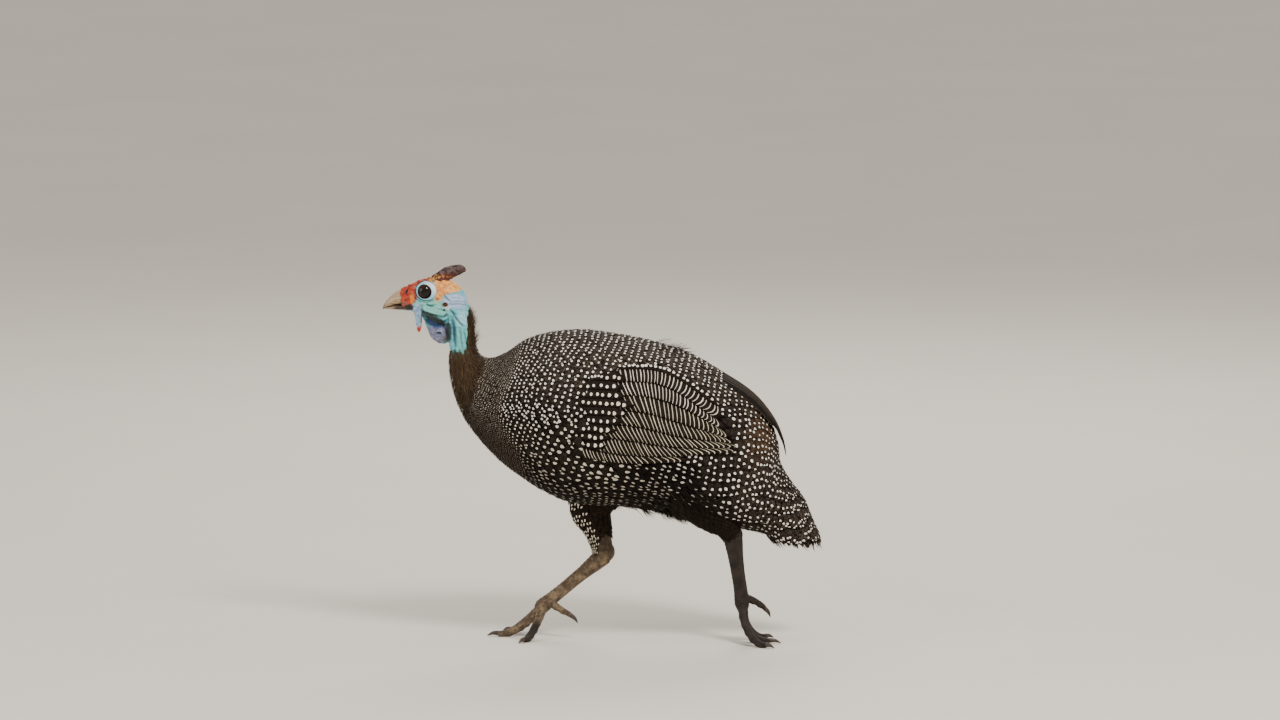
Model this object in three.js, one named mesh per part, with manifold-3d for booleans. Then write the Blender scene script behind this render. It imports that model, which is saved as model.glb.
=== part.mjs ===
// A helmeted guinea fowl, Numida meleagris, at life size, striding with its head up.
// Millimetres, +Z up. The bird looks along -X and its left side is towards -Y.
import * as THREE from "three";
import { mergeVertices } from "three/addons/utils/BufferGeometryUtils.js";
import Module from "manifold-3d";

// Outline of the body, from the tail's end to the top of the neck. Each station is one slanting section:
// x and z on the back, x and z on the belly, and half the width.
const BODY = [
  [213, 124, 164, 109, 29],
  [204, 145, 153, 112, 35],
  [192, 161, 142, 114, 41],
  [181, 180, 130, 116, 47],
  [178, 201, 118, 119, 53],
  [170, 224, 104, 122, 59],
  [152, 249, 86, 126, 65],
  [125, 270, 66, 130, 70],
  [94, 289, 43, 134, 73],
  [57, 302, 17, 137, 74.5],
  [19, 310, -8, 138, 74],
  [-17, 314.5, -32, 141, 70.5],
  [-49, 312, -57, 152, 64],
  [-73, 305, -80, 167, 55],
  [-91, 293, -102, 184, 45],
  [-104, 286.5, -121, 205, 36],
  [-114, 286, -136, 226, 29],
  [-120, 290, -145, 247, 23.5],
  [-124, 299, -150, 268, 19],
  [-126, 310, -151, 286, 16],
  [-127.5, 321, -151, 300, 14.3],
  [-129, 332, -154, 311, 13.6],
  [-132, 342, -158, 321, 12.5],
];
const BODY_FULLNESS = 0.08; // how much wider a section is below its middle
const TAIL_ROOT = 3.2; // places, counted in stations, where the nodes are parted
const NECK_ROOT = 14.6;
const BARE_SKIN = 19.2;

// The tail's end beyond the body, as two further sections of the same kind
const TAIL_TIP = [
  [222, 97, 174, 98, 24],
  [220, 108, 169, 103, 26],
];

// The folded wing seen from the side: the lower and the upper edge of its core, from the wrist to the rear
const WING_LOWER = [[-52, 252], [-34, 232], [-10, 217], [18, 208], [42, 206]];
const WING_UPPER = [[-50, 258], [-36, 277], [-6, 290], [32, 293], [66, 289]];
const WING_CORE = { edge: 0.9, middle: 3.5, steps: 7, columns: 4 };
const SUNK = 3; // how deep a core reaches into what it lies on

// Tiers of feathers on the wing. Each runs from its lowest to its highest feather, by where the first and
// the last have their roots and tips, and the line between them bows forwards.
const WING_TIERS = [
  { count: 5, width: 21, lift: [1.5, 3.4], bow: 3,
    root: [[8, 211], [28, 266]], tip: [[116, 201], [147, 236]] },
  { count: 3, width: 19, lift: [1.9, 4.2], bow: 0,
    root: [[38, 266], [60, 284]], tip: [[142, 246], [106, 271]] },
  { count: 6, width: 18.5, lift: [2.7, 5], bow: 14,
    root: [[-20, 217], [20, 288]], tip: [[38, 203], [70, 290]] },
  { count: 6, width: 18.5, lift: [2.7, 5.2], bow: 13,
    root: [[-36, 228], [-6, 288]], tip: [[-4, 210], [30, 296]] },
  { count: 4, width: 20, lift: [1.4, 4.8], bow: 10,
    root: [[-47, 243], [-34, 277]], tip: [[-24, 223], [-6, 291]] },
];

// The primaries by the places of their roots and tips, their angles off the midline and how far they rise
const PRIMARIES = { count: 4, from: 8, to: 3.45, step: 0.25, inner: 4, outer: 19, width: 8.5 };
const PRIMARY_RISE = [0.9, 6];
const PRIMARY_ROLL = 13;
const PRIMARY_CORE = { length: 1.6, spare: 3.2, rise: 1.4 };
const PRIMARY_ROOM = { spare: 6.5, rise: 20 };

// Tiers of tail feathers by the places and angles of their roots and tips, one row over the next
const TAIL_CORE = { to: -0.8, inset: 5, steps: 11 };
const TAIL_TIERS = [
  { count: 3, from: 1.8, to: -1.7, angles: [146, 214], width: 25, lift: [-6, -1] },
  { count: 3, from: 2.8, to: 0.3, angles: [152, 208], width: 21, lift: [-2.6, 2] },
  { count: 10, from: 2.3, to: -2, angles: [-117, 117], width: 16, lift: [-6, 0] },
  { count: 6, from: 2.8, to: 0.4, angles: [-100, 100], width: 28, lift: [-2.6, 2] },
];

const VANE_THICK = 0.8;
const CAMBER = 0.03; // of a vane's width
const VANE_ROLL = 6.5; // degrees, so that each vane's one edge lies over its neighbour

// Along a feather: how far along, how wide and how far risen, as shares of the whole
const LONG_VANE = [[0, 0.6, 0], [0.34, 0.95, 0.5], [0.72, 1, 0.82], [0.93, 0.8, 0.96], [1, 0.36, 1]];
const SHORT_VANE = [[0, 0.6, 0], [0.45, 1, 0.7], [0.85, 0.86, 0.94], [1, 0.4, 1]];
const LONG = 60; // a feather at least this long takes the finer steps

// Bristles up the nape
const NAPE = { count: 11, from: 19, to: 21.5, angles: [-24, 24], length: 13, width: 4.6 };
const NAPE_LEAN = 0.3;
const NAPE_BEND = 0.45;
const LOCK_ROOT = 2.5; // how deep a bristle starts
const LOCK_WIDTHS = [[0, 0.9], [0.35, 1], [0.7, 0.7], [1, 0.12]];

// Bulbs of red skin on the forehead and round the casque's root: x, z, y and radius
const CARUNCLES = [
  [-195.5, 354, 5.4, 2.6],
  [-189.5, 358, 5.8, 2.5],
  [-174, 363.4, 5.2, 2.5],
  [-160, 364, 6.4, 2.5],
];

// Folds of the neck's bare skin: place and angle of both ends
const NECK_FOLDS = [[19.4, 84, 21.3, 56]];
const FOLD_RADIUS = 1.5;

// Outline of the head, from the nape to the bill: top, underside and half width.
const HEAD = [
  [-131, 338, -131, 326, 5],
  [-134.5, 350, -136, 317, 10.5],
  [-141, 358, -146, 315, 13],
  [-150, 363, -156, 319, 13.8],
  [-161, 365, -165, 324, 13.6],
  [-171, 364.5, -173, 328.5, 12.6],
  [-180, 362.5, -181, 331.5, 11],
  [-189, 359, -189, 333.5, 9],
  [-196.5, 355.8, -196, 334.5, 7.4],
];
const EYE = { x: -175, z: 354, y: 8.2, radius: 7.9, bulge: 5.5 };
const LID = { radius: 7.9, tube: 1.5, y: 11 };
const EAR = { x: -154.5, z: 342.3, y: 13.4, radius: 2.2, depth: 3.5, rim: 1 };
const NOSTRIL = { x: -193, z: 353.8, y: 8, length: 2.4, radius: 1.1, tilt: 1.2 };

// The bill's upper edge, the mouth line and the lower edge, from the root to the tip, with half the width.
const BILL_UPPER = [
  [-193, 357, -193, 340.5, 7],
  [-199, 355.2, -199, 340, 6.6],
  [-205, 351.6, -205, 339, 5.4],
  [-211, 346.2, -211, 337.6, 3.8],
  [-215.5, 340.5, -215, 336, 2.2],
  [-217.3, 336, -217, 334.8, 0.7],
];
const BILL_LOWER = [
  [-193, 340.1, -193, 334.4, 6.2],
  [-200, 339.5, -200, 334.6, 5.4],
  [-207, 338.1, -207, 334.8, 3.8],
  [-213, 336.4, -213, 335.2, 1.5],
];

// The casque: its front and top edge, its rear and under edge and half the width, from the root up.
const CASQUE = [
  [-171, 361, -150, 359, 6.4],
  [-169, 367, -150, 364.8, 5.8],
  [-163, 372, -147.6, 366.4, 5],
  [-156, 376.6, -144.8, 367.8, 4.5],
  [-148.4, 379.2, -141.6, 369.2, 4],
  [-141, 380, -138.2, 370.8, 3.5],
  [-136, 377.8, -135.2, 373, 2.3],
];

// A lobe of bare skin at each corner of the mouth, and the fold under the throat.
const WATTLE = [
  [-190, 342, -178, 340, 1.8],
  [-187.5, 335, -177.2, 333, 2.1],
  [-185.2, 328, -177.2, 327, 2],
  [-183.8, 321, -177.8, 320.5, 1.8],
  [-182.3, 315.8, -179, 315.4, 1.4],
  [-181.6, 313.4, -179.9, 313.2, 0.7],
];
const WATTLE_ROOT_Y = 8.8;
const WATTLE_FLARE = 3.4;
const THROAT = [
  [-180, 332, -150, 322, 4.5],
  [-176, 324, -150, 314, 6.4],
  [-172, 314, -149, 306, 6.8],
  [-168, 305.5, -151, 302.5, 4.8],
  [-161, 300.8, -155, 300.4, 1.8],
];

const GAP = 0.3; // between pieces that touch
const REACH = 900; // longer than anything on the bird, for the forms that cut it
const FLOOR_DEPTH = 12;
const STEP = 0.01; // how far apart, in places or radians, two points give a direction
const OVERLAP = 2; // places by which a form runs on under its neighbour
const HIDDEN_END = 0.3;
const SHANK_CUT = 80; // wider than a foot
const FOOT_CUT = { above: 3, below: 4, share: 0.6 }; // between stations of the shank

// Each leg: centres x, y, z with half the depth and half the width, down the feathered shin and the bare
// shank, then each toe and its claw.
const LEGS = {
  right: {
    side: 1,
    shin: [
      [12, 34, 176, 36, 20],
      [-2, 33, 150, 30, 18],
      [-8, 32, 128, 23, 16],
      [-3, 31, 110, 15.5, 13],
      [0.5, 30, 98, 12.6, 10.5],
      [2.5, 29, 88, 11.2, 8.8],
      [3, 28, 80, 11, 8.2],
    ],
    shank: [
      [4, 28, 82, 9.6, 7.4],
      [-6, 27.4, 73.4, 8.4, 6.2],
      [-18, 26.5, 63.6, 6.9, 5],
      [-34, 25, 50.4, 6.4, 4.7],
      [-49, 23.5, 38.2, 6.8, 5.4],
      [-58, 22, 31, 7.6, 7],
      [-62, 22, 27, 5.6, 6.2],
    ],
    toes: {
      middle: [[-59, 22, 29], [-71, 22.4, 18.5], [-83, 23, 8.8], [-93, 23.6, 3.3], [-102.5, 24, 2.3]],
      inner: [[-58, 18.5, 29], [-62.5, 9, 18], [-67.5, -1, 8.8], [-72.5, -9, 3.1], [-76, -14.5, 2.2]],
      outer: [[-58, 26, 29], [-68, 33, 18], [-77, 40, 8.8], [-85, 46, 3.1], [-90, 50, 2.2]],
      hind: [[-52, 20, 36], [-44, 14.5, 31.5], [-36, 11.6, 27], [-30, 10.4, 24]],
    },
    claws: {
      middle: [[-102.5, 24, 3.4], [-108, 24.3, 3.2], [-113.5, 24.6, 0.8]],
      inner: [[-76, -14.5, 3.2], [-78.8, -18.6, 3], [-81.5, -22.5, 0.8]],
      outer: [[-90, 50, 3.2], [-94, 53.2, 3], [-98, 56.4, 0.8]],
      hind: [[-30, 10.4, 24], [-25.6, 9.6, 20.6], [-22.5, 9.2, 16]],
    },
  },
  left: {
    side: -1,
    shin: [
      [78, -38, 196, 44, 20],
      [90, -39, 176, 40, 20],
      [101, -38, 157, 34, 18],
      [111, -35, 141, 27, 15],
      [120, -31.5, 128, 19.5, 12],
      [127, -29.5, 119, 13, 10],
      [131.6, -28.5, 111, 10.8, 8.8],
    ],
    shank: [
      [132.4, -28.2, 113, 10, 7.8],
      [133.8, -27.6, 103, 9.2, 6.9],
      [135.6, -26.4, 90, 7.8, 5.7],
      [138, -24.6, 73, 6.9, 5],
      [140.6, -22.6, 56, 6.8, 5.2],
      [142.2, -21, 41, 7.4, 6.8],
      [143.2, -20.6, 35, 5.6, 6.2],
    ],
    toes: {
      middle: [[142.6, -20.4, 37], [145, -20.8, 22], [151, -21.2, 9.4], [161, -21.6, 3.3], [170, -22, 2.3]],
      inner: [[142.6, -17, 37], [145, -10, 22], [151, -3, 10], [159, 3, 3.2], [166, 7, 2.2]],
      outer: [[142.6, -24, 37], [145, -31, 22], [151, -38, 10], [159, -44, 3.2], [166, -48, 2.2]],
      hind: [[144, -18, 46], [152.5, -15.4, 43], [160, -14.2, 38.6], [165, -13.8, 34.6]],
    },
    claws: {
      middle: [[170, -22, 3.4], [175.6, -22.3, 3.2], [181, -22.6, 0.8]],
      inner: [[166, 7, 3.2], [170, 9.8, 3], [174, 12.6, 0.8]],
      outer: [[166, -48, 3.2], [170, -50.8, 3], [174, -53.6, 0.8]],
      hind: [[165, -13.8, 34.6], [168.6, -13.4, 30.6], [170.6, -13.2, 25.6]],
    },
  },
};
const TOE_RADII = {
  middle: [5.4, 4.5, 4.2, 3.9, 3.1],
  inner: [5, 4.2, 3.9, 3.6, 2.9],
  outer: [5, 4.2, 3.9, 3.6, 2.9],
  hind: [4.8, 3.7, 3.2, 2.6],
};
const CLAW_RADII = [2.5, 1.8, 0.4];
const CLAW_FLATNESS = 0.8;

// Colours from the photograph
const COLOUR = {
  plumage: 0x2b2420,
  skin: 0x86c7d3,
  throat: 0x6d6fa5,
  casque: 0x4f342b,
  horn: 0xb49a7a,
  eye: 0x1c100c,
  leg: 0x574838,
  claw: 0x2a2522,
};

const SIDES = { left: -1, right: 1 };
const BODY_SIDES = 18;
const BODY_STEPS = 38;
const HEAD_SIDES = 14;
const HEAD_STEPS = 13;
const SHIN_SIDES = 12;
const SHANK_SIDES = 8;
const TOE_SIDES = 6;
const CLAW_SIDES = 6;

const wasm = await Module();
wasm.setup();

const radians = THREE.MathUtils.degToRad;
const across = new THREE.Vector3(0, 1, 0);

// A Catmull-Rom curve through rows of numbers, at a place counted in rows.
function between(rows, place) {
  const last = rows.length - 1;
  const i = THREE.MathUtils.clamp(Math.floor(place), 0, last - 1);
  const t = place - i;
  return rows[0].map((_, c) => {
    const a = rows[i][c];
    const b = rows[i + 1][c];
    const before = i > 0 ? rows[i - 1][c] : 2 * a - b;
    const after = i + 2 <= last ? rows[i + 2][c] : 2 * b - a;
    const leave = (b - before) / 2;
    const arrive = (after - a) / 2;
    return a + t * (leave + t * (3 * (b - a) - 2 * leave - arrive + t * (2 * (a - b) + leave + arrive)));
  });
}

// A point of a body laid out in slanting sections, angle 0 on the back and a quarter turn on the left side.
function sectionPoint(rows, place, angle, fullness = 0) {
  const [xTop, zTop, xLow, zLow, half] = between(rows, place);
  const c = Math.cos(angle);
  const y = -half * Math.sin(angle) * (1 - fullness * c);
  return new THREE.Vector3((xTop + xLow + (xTop - xLow) * c) / 2, y, (zTop + zLow + (zTop - zLow) * c) / 2);
}

function bodyPoint(place, angle, height = 0) {
  const at = sectionPoint(BODY, place, angle, BODY_FULLNESS);
  const along = sectionPoint(BODY, place + STEP, angle, BODY_FULLNESS).sub(at);
  const round = sectionPoint(BODY, place, angle + STEP, BODY_FULLNESS).sub(at);
  return at.addScaledVector(along.cross(round).normalize(), height);
}

// A closed surface through rings of equal length, each end closed from its own middle.
function loft(rings) {
  const n = rings[0].length;
  const points = rings.flat();
  const faces = [];
  for (let i = 0; i + 1 < rings.length; i++) {
    for (let j = 0; j < n; j++) {
      const a = i * n + j;
      const b = i * n + ((j + 1) % n);
      faces.push(a, b, b + n, a, b + n, a + n);
    }
  }
  const middle = (ring) => ring.reduce((sum, p) => sum.add(p), new THREE.Vector3()).divideScalar(n);
  const first = points.push(middle(rings[0])) - 1;
  const last = points.push(middle(rings[rings.length - 1])) - 1;
  const end = (rings.length - 1) * n;
  for (let j = 0; j < n; j++) {
    faces.push(first, (j + 1) % n, j, last, end + j, end + ((j + 1) % n));
  }
  return facingOut(points, faces);
}

// An indexed geometry with its faces pointing out, whichever way they were listed.
function facingOut(points, faces) {
  let volume = 0;
  for (let i = 0; i < faces.length; i += 3) {
    const [a, b, c] = [points[faces[i]], points[faces[i + 1]], points[faces[i + 2]]];
    volume += a.dot(b.clone().cross(c));
  }
  if (volume < 0) faces.reverse();
  const geometry = new THREE.BufferGeometry().setFromPoints(points);
  geometry.setIndex(faces);
  return geometry;
}

function solidOf(geometry) {
  const bare = geometry.clone();
  bare.deleteAttribute("normal");
  bare.deleteAttribute("uv");
  const merged = mergeVertices(bare, 1e-4);
  return new wasm.Manifold(
    new wasm.Mesh({
      numProp: 3,
      vertProperties: new Float32Array(merged.attributes.position.array),
      triVerts: new Uint32Array(merged.index.array),
    }),
  );
}

function geometryOf(solid) {
  const mesh = solid.getMesh();
  const positions = new Float32Array(mesh.numVert * 3);
  for (let i = 0; i < mesh.numVert; i++) {
    positions.set(mesh.vertProperties.subarray(i * mesh.numProp, i * mesh.numProp + 3), i * 3);
  }
  const geometry = new THREE.BufferGeometry();
  geometry.setAttribute("position", new THREE.BufferAttribute(positions, 3));
  geometry.setIndex(new THREE.BufferAttribute(mesh.triVerts, 1));
  geometry.computeVertexNormals();
  return geometry;
}

// The largest closed surface of a solid, with any hollow that fusing sealed filled in.
function largest(solid) {
  return solid.decompose().reduce((best, piece) => (piece.volume() > best.volume() ? piece : best));
}

// A limb along centres [x, y, z, half depth, half width], grown by an amount all round.
function limb(rows, sides, steps, grow = 0) {
  const rings = [];
  const last = rows.length - 1;
  for (let i = 0; i <= steps; i++) {
    const place = (last * i) / steps;
    const [x, y, z, depth, width] = between(rows, place);
    const ahead = between(rows, Math.min(place + 0.05, last));
    const behind = between(rows, Math.max(place - 0.05, 0));
    const way = new THREE.Vector3(...ahead).sub(new THREE.Vector3(...behind)).normalize();
    const side = across.clone().addScaledVector(way, -across.dot(way)).normalize();
    const front = new THREE.Vector3().crossVectors(side, way);
    const centre = new THREE.Vector3(x, y, z);
    if (i === 0) centre.addScaledVector(way, -grow);
    if (i === steps) centre.addScaledVector(way, grow);
    rings.push(
      Array.from({ length: sides }, (_, j) => {
        const angle = (2 * Math.PI * j) / sides;
        return centre
          .clone()
          .addScaledVector(front, (depth + grow) * Math.cos(angle))
          .addScaledVector(side, (width + grow) * Math.sin(angle));
      }),
    );
  }
  return solidOf(loft(rings));
}

function sectionLoft(rows, sides, steps, from = 0, to = rows.length - 1) {
  const rings = [];
  for (let i = 0; i <= steps; i++) {
    const place = from + ((to - from) * i) / steps;
    rings.push(Array.from({ length: sides }, (_, j) => sectionPoint(rows, place, (2 * Math.PI * j) / sides)));
  }
  return solidOf(loft(rings));
}

function bodyLoft(from, to, steps, grow = 0) {
  const rings = [];
  for (let i = 0; i <= steps; i++) {
    const place = from + ((to - from) * i) / steps;
    const angles = Array.from({ length: BODY_SIDES }, (_, j) => (2 * Math.PI * j) / BODY_SIDES);
    rings.push(angles.map((angle) => bodyPoint(place, angle, grow)));
  }
  return solidOf(loft(rings));
}

// The head's sections, grown outwards by an amount.
function headLoft(grow = 0) {
  const rows = HEAD.map(([xTop, zTop, xLow, zLow, half], i) => {
    const end = i === 0 ? grow : i === HEAD.length - 1 ? -grow : 0;
    return [xTop + end, zTop + grow, xLow + end, zLow - grow, half + grow];
  });
  return sectionLoft(rows, HEAD_SIDES, HEAD_STEPS);
}

// Numbers from 0 to 1 that look random and are the same on every run.
function seeded(seed) {
  let state = seed;
  return () => {
    state = (state * 48271) % 2147483647;
    return state / 2147483647;
  };
}

// A thin slab on the body between two grids of [place, angle, height], with both faces split alike.
function slab(rows, columns, top, bottom) {
  const points = [];
  const faces = [];
  const count = (rows + 1) * (columns + 1);
  for (const face of [top, bottom]) {
    for (let i = 0; i <= rows; i++) {
      for (let j = 0; j <= columns; j++) points.push(face(i / rows, j / columns));
    }
  }
  const at = (i, j) => i * (columns + 1) + j;
  for (let i = 0; i < rows; i++) {
    for (let j = 0; j < columns; j++) {
      const [a, b, c, d] = [at(i, j), at(i + 1, j), at(i + 1, j + 1), at(i, j + 1)];
      faces.push(a, b, c, a, c, d);
      faces.push(count + a, count + c, count + b, count + a, count + d, count + c);
    }
  }
  const rim = [];
  for (let j = 0; j < columns; j++) rim.push(at(0, j));
  for (let i = 0; i < rows; i++) rim.push(at(i, columns));
  for (let j = columns; j > 0; j--) rim.push(at(rows, j));
  for (let i = rows; i > 0; i--) rim.push(at(i, 0));
  rim.forEach((a, k) => {
    const b = rim[(k + 1) % rim.length];
    faces.push(a, b, count + b, a, count + b, count + a);
  });
  return solidOf(facingOut(points, faces));
}

const floor = solidOf(new THREE.BoxGeometry(REACH, REACH, FLOOR_DEPTH).translate(0, 0, -FLOOR_DEPTH / 2));

// A thin cut across the body at one station.
function cutAcross(place) {
  const top = bodyPoint(place, 0);
  const low = bodyPoint(place, Math.PI);
  const up = top.clone().sub(low).normalize();
  const along = new THREE.Vector3().crossVectors(across, up);
  const frame = new THREE.Matrix4().makeBasis(along, across, up);
  frame.setPosition(top.add(low).divideScalar(2));
  return solidOf(new THREE.BoxGeometry(GAP, REACH, REACH).applyMatrix4(frame));
}

// The place and angle where the body's side shows a given x and z.
function onSide(x, z, side) {
  let place = 8;
  let angle = side * -Math.PI / 2;
  for (let i = 0; i < 30; i++) {
    const step = 1e-3;
    const at = bodyPoint(place, angle);
    const u = bodyPoint(place + step, angle).sub(at).divideScalar(step);
    const v = bodyPoint(place, angle + step).sub(at).divideScalar(step);
    const size = u.x * v.z - u.z * v.x;
    const dx = THREE.MathUtils.clamp(x - at.x, -12, 12);
    const dz = THREE.MathUtils.clamp(z - at.z, -12, 12);
    place += (dx * v.z - dz * v.x) / size;
    angle += (dz * u.x - dx * u.z) / size;
  }
  return [place, angle];
}

// A thin blade along a path of points and normals, with both faces split alike.
function blade(path, width, roll, widths) {
  const last = path.length - 1;
  const frames = path.map(({ at, up }, i) => {
    const way = path[Math.min(i + 1, last)].at.clone().sub(path[Math.max(i - 1, 0)].at).normalize();
    const side = new THREE.Vector3().crossVectors(way, up).normalize().applyAxisAngle(way, roll);
    return { at, side, up: new THREE.Vector3().crossVectors(side, way).normalize() };
  });
  const face = (sign) => (t, q) => {
    const i = Math.round(t * last);
    const { at, side, up } = frames[i];
    const out = (2 * q - 1) * (width / 2) * widths[i];
    const camber = (1 - (2 * q - 1) ** 2) * width * CAMBER;
    return at.clone().addScaledVector(side, out).addScaledVector(up, camber + (sign * VANE_THICK) / 2);
  };
  return slab(last, 1, face(1), face(-1));
}

// A feather that starts sunk in what it grows from and rises towards its tip.
function vane(where, lift, width, roll, surface) {
  const length = surface(...where(0), 0).distanceTo(surface(...where(1), 0));
  const shape = length < LONG ? SHORT_VANE : LONG_VANE;
  const path = shape.map(([t, , rise]) => {
    const [place, angle] = where(t);
    const height = lift[0] + (lift[1] - lift[0]) * rise;
    const at = surface(place, angle, height);
    return { at, up: surface(place, angle, height + 1).sub(at) };
  });
  return blade(path, width, roll, shape.map(([, w]) => w));
}

// Wing: a thin core over the body's side, with the tiers of feathers rooted in it
function wingCore(side) {
  const where = (t, q) => {
    const low = between(WING_LOWER, t * (WING_LOWER.length - 1));
    const high = between(WING_UPPER, t * (WING_UPPER.length - 1));
    return onSide(low[0] + (high[0] - low[0]) * q, low[1] + (high[1] - low[1]) * q, side);
  };
  const { edge, middle, steps, columns } = WING_CORE;
  const swell = (t, q) => Math.min(1, 4 * t) * Math.sqrt(Math.sin(Math.PI * (0.14 + 0.72 * q)));
  const top = (t, q) => bodyPoint(...where(t, q), edge + (middle - edge) * swell(t, q));
  return slab(steps, columns, top, (t, q) => bodyPoint(...where(t, q), -SUNK));
}

function wingFeathers(side, random) {
  const feathers = [];
  for (const tier of WING_TIERS) {
    for (let i = 0; i < tier.count; i++) {
      const q = i / (tier.count - 1);
      const forward = tier.bow * Math.sin(Math.PI * q);
      const spot = ([first, end], slip) => [
        first[0] + (end[0] - first[0]) * q - forward + slip,
        first[1] + (end[1] - first[1]) * q,
      ];
      const root = spot(tier.root, 0);
      const tip = spot(tier.tip, 3 * random());
      const where = (t) => onSide(root[0] + (tip[0] - root[0]) * t, root[1] + (tip[1] - root[1]) * t, side);
      const width = tier.width * (0.95 + 0.1 * random());
      feathers.push(vane(where, tier.lift, width, side * radians(VANE_ROLL), bodyPoint));
    }
  }
  return feathers;
}

// Primaries: the dark wing tip that lies along the rump, beside the midline
const primaryRise = (t) => PRIMARY_RISE[0] + (PRIMARY_RISE[1] - PRIMARY_RISE[0]) * t ** 1.5;

function primaryFeathers(side, random) {
  const { from, to, inner, outer, count, width, step } = PRIMARIES;
  return Array.from({ length: count }, (_, i) => {
    const angle = -side * radians(inner + ((outer - inner) * i) / (count - 1));
    const end = to + step * i * (0.9 + 0.2 * random());
    const path = LONG_VANE.map(([t]) => {
      const place = from + (end - from) * t;
      const at = bodyPoint(place, angle, primaryRise(t));
      return { at, up: bodyPoint(place, angle, primaryRise(t) + 1).sub(at) };
    });
    return blade(path, width, -side * radians(PRIMARY_ROLL), LONG_VANE.map(([, w]) => w));
  });
}

// The strip of the body that the primaries take up, from a place to another and risen by a height
function primaryStrip(side, from, to, { spare, rise }) {
  const { inner, outer } = PRIMARIES;
  const angle = (q) => -side * radians(inner - spare + (outer - inner + 2 * spare) * q);
  const face = (height) => (t, q) => bodyPoint(from + (to - from) * t, angle(q), height);
  return slab(6, 3, face(rise), face(-SUNK));
}

const primaryCore = (side) =>
  primaryStrip(side, PRIMARIES.from + 0.1, PRIMARIES.from - PRIMARY_CORE.length, PRIMARY_CORE);

const primaryClearance = (side) =>
  primaryStrip(side, PRIMARIES.from + 0.12, PRIMARIES.to - 0.4, PRIMARY_ROOM);

// Tail: a core with its tiers of feathers, laid out on sections that reach on to the tips
function tailPoint(place, angle, height) {
  const rows = [...TAIL_TIP, ...BODY];
  const point = (p, a) => sectionPoint(rows, p + TAIL_TIP.length, a, BODY_FULLNESS);
  const at = point(place, angle);
  const along = point(place + STEP, angle).sub(at);
  const round = point(place, angle + STEP).sub(at);
  return at.addScaledVector(along.cross(round).normalize(), height);
}

const rearOf = (solid) => solid.boundingBox().max[0];

function tailCore() {
  const last = TAIL_ROOT + 0.6;
  const rings = [];
  for (let i = 0; i <= TAIL_CORE.steps; i++) {
    const place = TAIL_CORE.to + ((last - TAIL_CORE.to) * i) / TAIL_CORE.steps;
    const inset = TAIL_CORE.inset * THREE.MathUtils.smoothstep(TAIL_ROOT - place, 0, 1.2);
    const angles = Array.from({ length: BODY_SIDES }, (_, j) => (2 * Math.PI * j) / BODY_SIDES);
    rings.push(angles.map((angle) => tailPoint(place, angle, -inset)));
  }
  return solidOf(loft(rings));
}

// Tiers of feathers round the tail, each feather lying over the next one out from the midline
function tailFeathers(random) {
  const feathers = [];
  for (const { count, from, to, angles, width, lift } of TAIL_TIERS) {
    for (let i = 0; i < count; i++) {
      const turn = angles[0] + ((angles[1] - angles[0]) * i) / (count - 1);
      const end = to + 0.25 * random();
      const where = (t) => [from + (end - from) * t, radians(turn)];
      const roll = -Math.sign(Math.sin(radians(turn))) * radians(VANE_ROLL);
      feathers.push(vane(where, lift, width, roll, tailPoint));
    }
  }
  return feathers;
}

// Locks: flat and tapered, rooted in the body and bent over along it
function locks({ count, from, to, angles, length, width }, random) {
  return Array.from({ length: count }, (_, i) => {
    const place = from + (to - from) * ((i + 0.4 * random()) / count);
    const angle = radians(angles[0] + (angles[1] - angles[0]) * ((i * 0.618 + 0.2 * random()) % 1));
    const root = bodyPoint(place, angle, -LOCK_ROOT);
    const normal = bodyPoint(place, angle, 1 - LOCK_ROOT).sub(root);
    const along = bodyPoint(place + 0.05, angle, -LOCK_ROOT).sub(root).normalize();
    const reach = length * (0.8 + 0.35 * random()) + LOCK_ROOT;
    const curl = NAPE_BEND * (0.4 + 1.2 * random());
    const way = normal.clone().addScaledVector(along, NAPE_LEAN).normalize();
    const path = LOCK_WIDTHS.map(([t]) => {
      const at = root.clone().addScaledVector(way, reach * t).addScaledVector(along, reach * curl * t * t);
      return { at, up: along.clone().addScaledVector(normal, -NAPE_LEAN) };
    });
    return blade(path, width * (0.85 + 0.3 * random()), 0, LOCK_WIDTHS.map(([, w]) => w));
  });
}

function eyeBall(side, grow) {
  const ball = new THREE.SphereGeometry(1, 12, 8);
  ball.scale(EYE.radius + grow, EYE.bulge + grow, EYE.radius + grow);
  return solidOf(ball.translate(EYE.x, side * EYE.y, EYE.z));
}

function caruncles(grow = 0) {
  const bulb = (side) => ([x, z, y, radius]) =>
    solidOf(new THREE.SphereGeometry(radius + grow, 6, 4).translate(x, side * y, z));
  return wasm.Manifold.union([...CARUNCLES.map(bulb(-1)), ...CARUNCLES.map(bulb(1))]);
}

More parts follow.
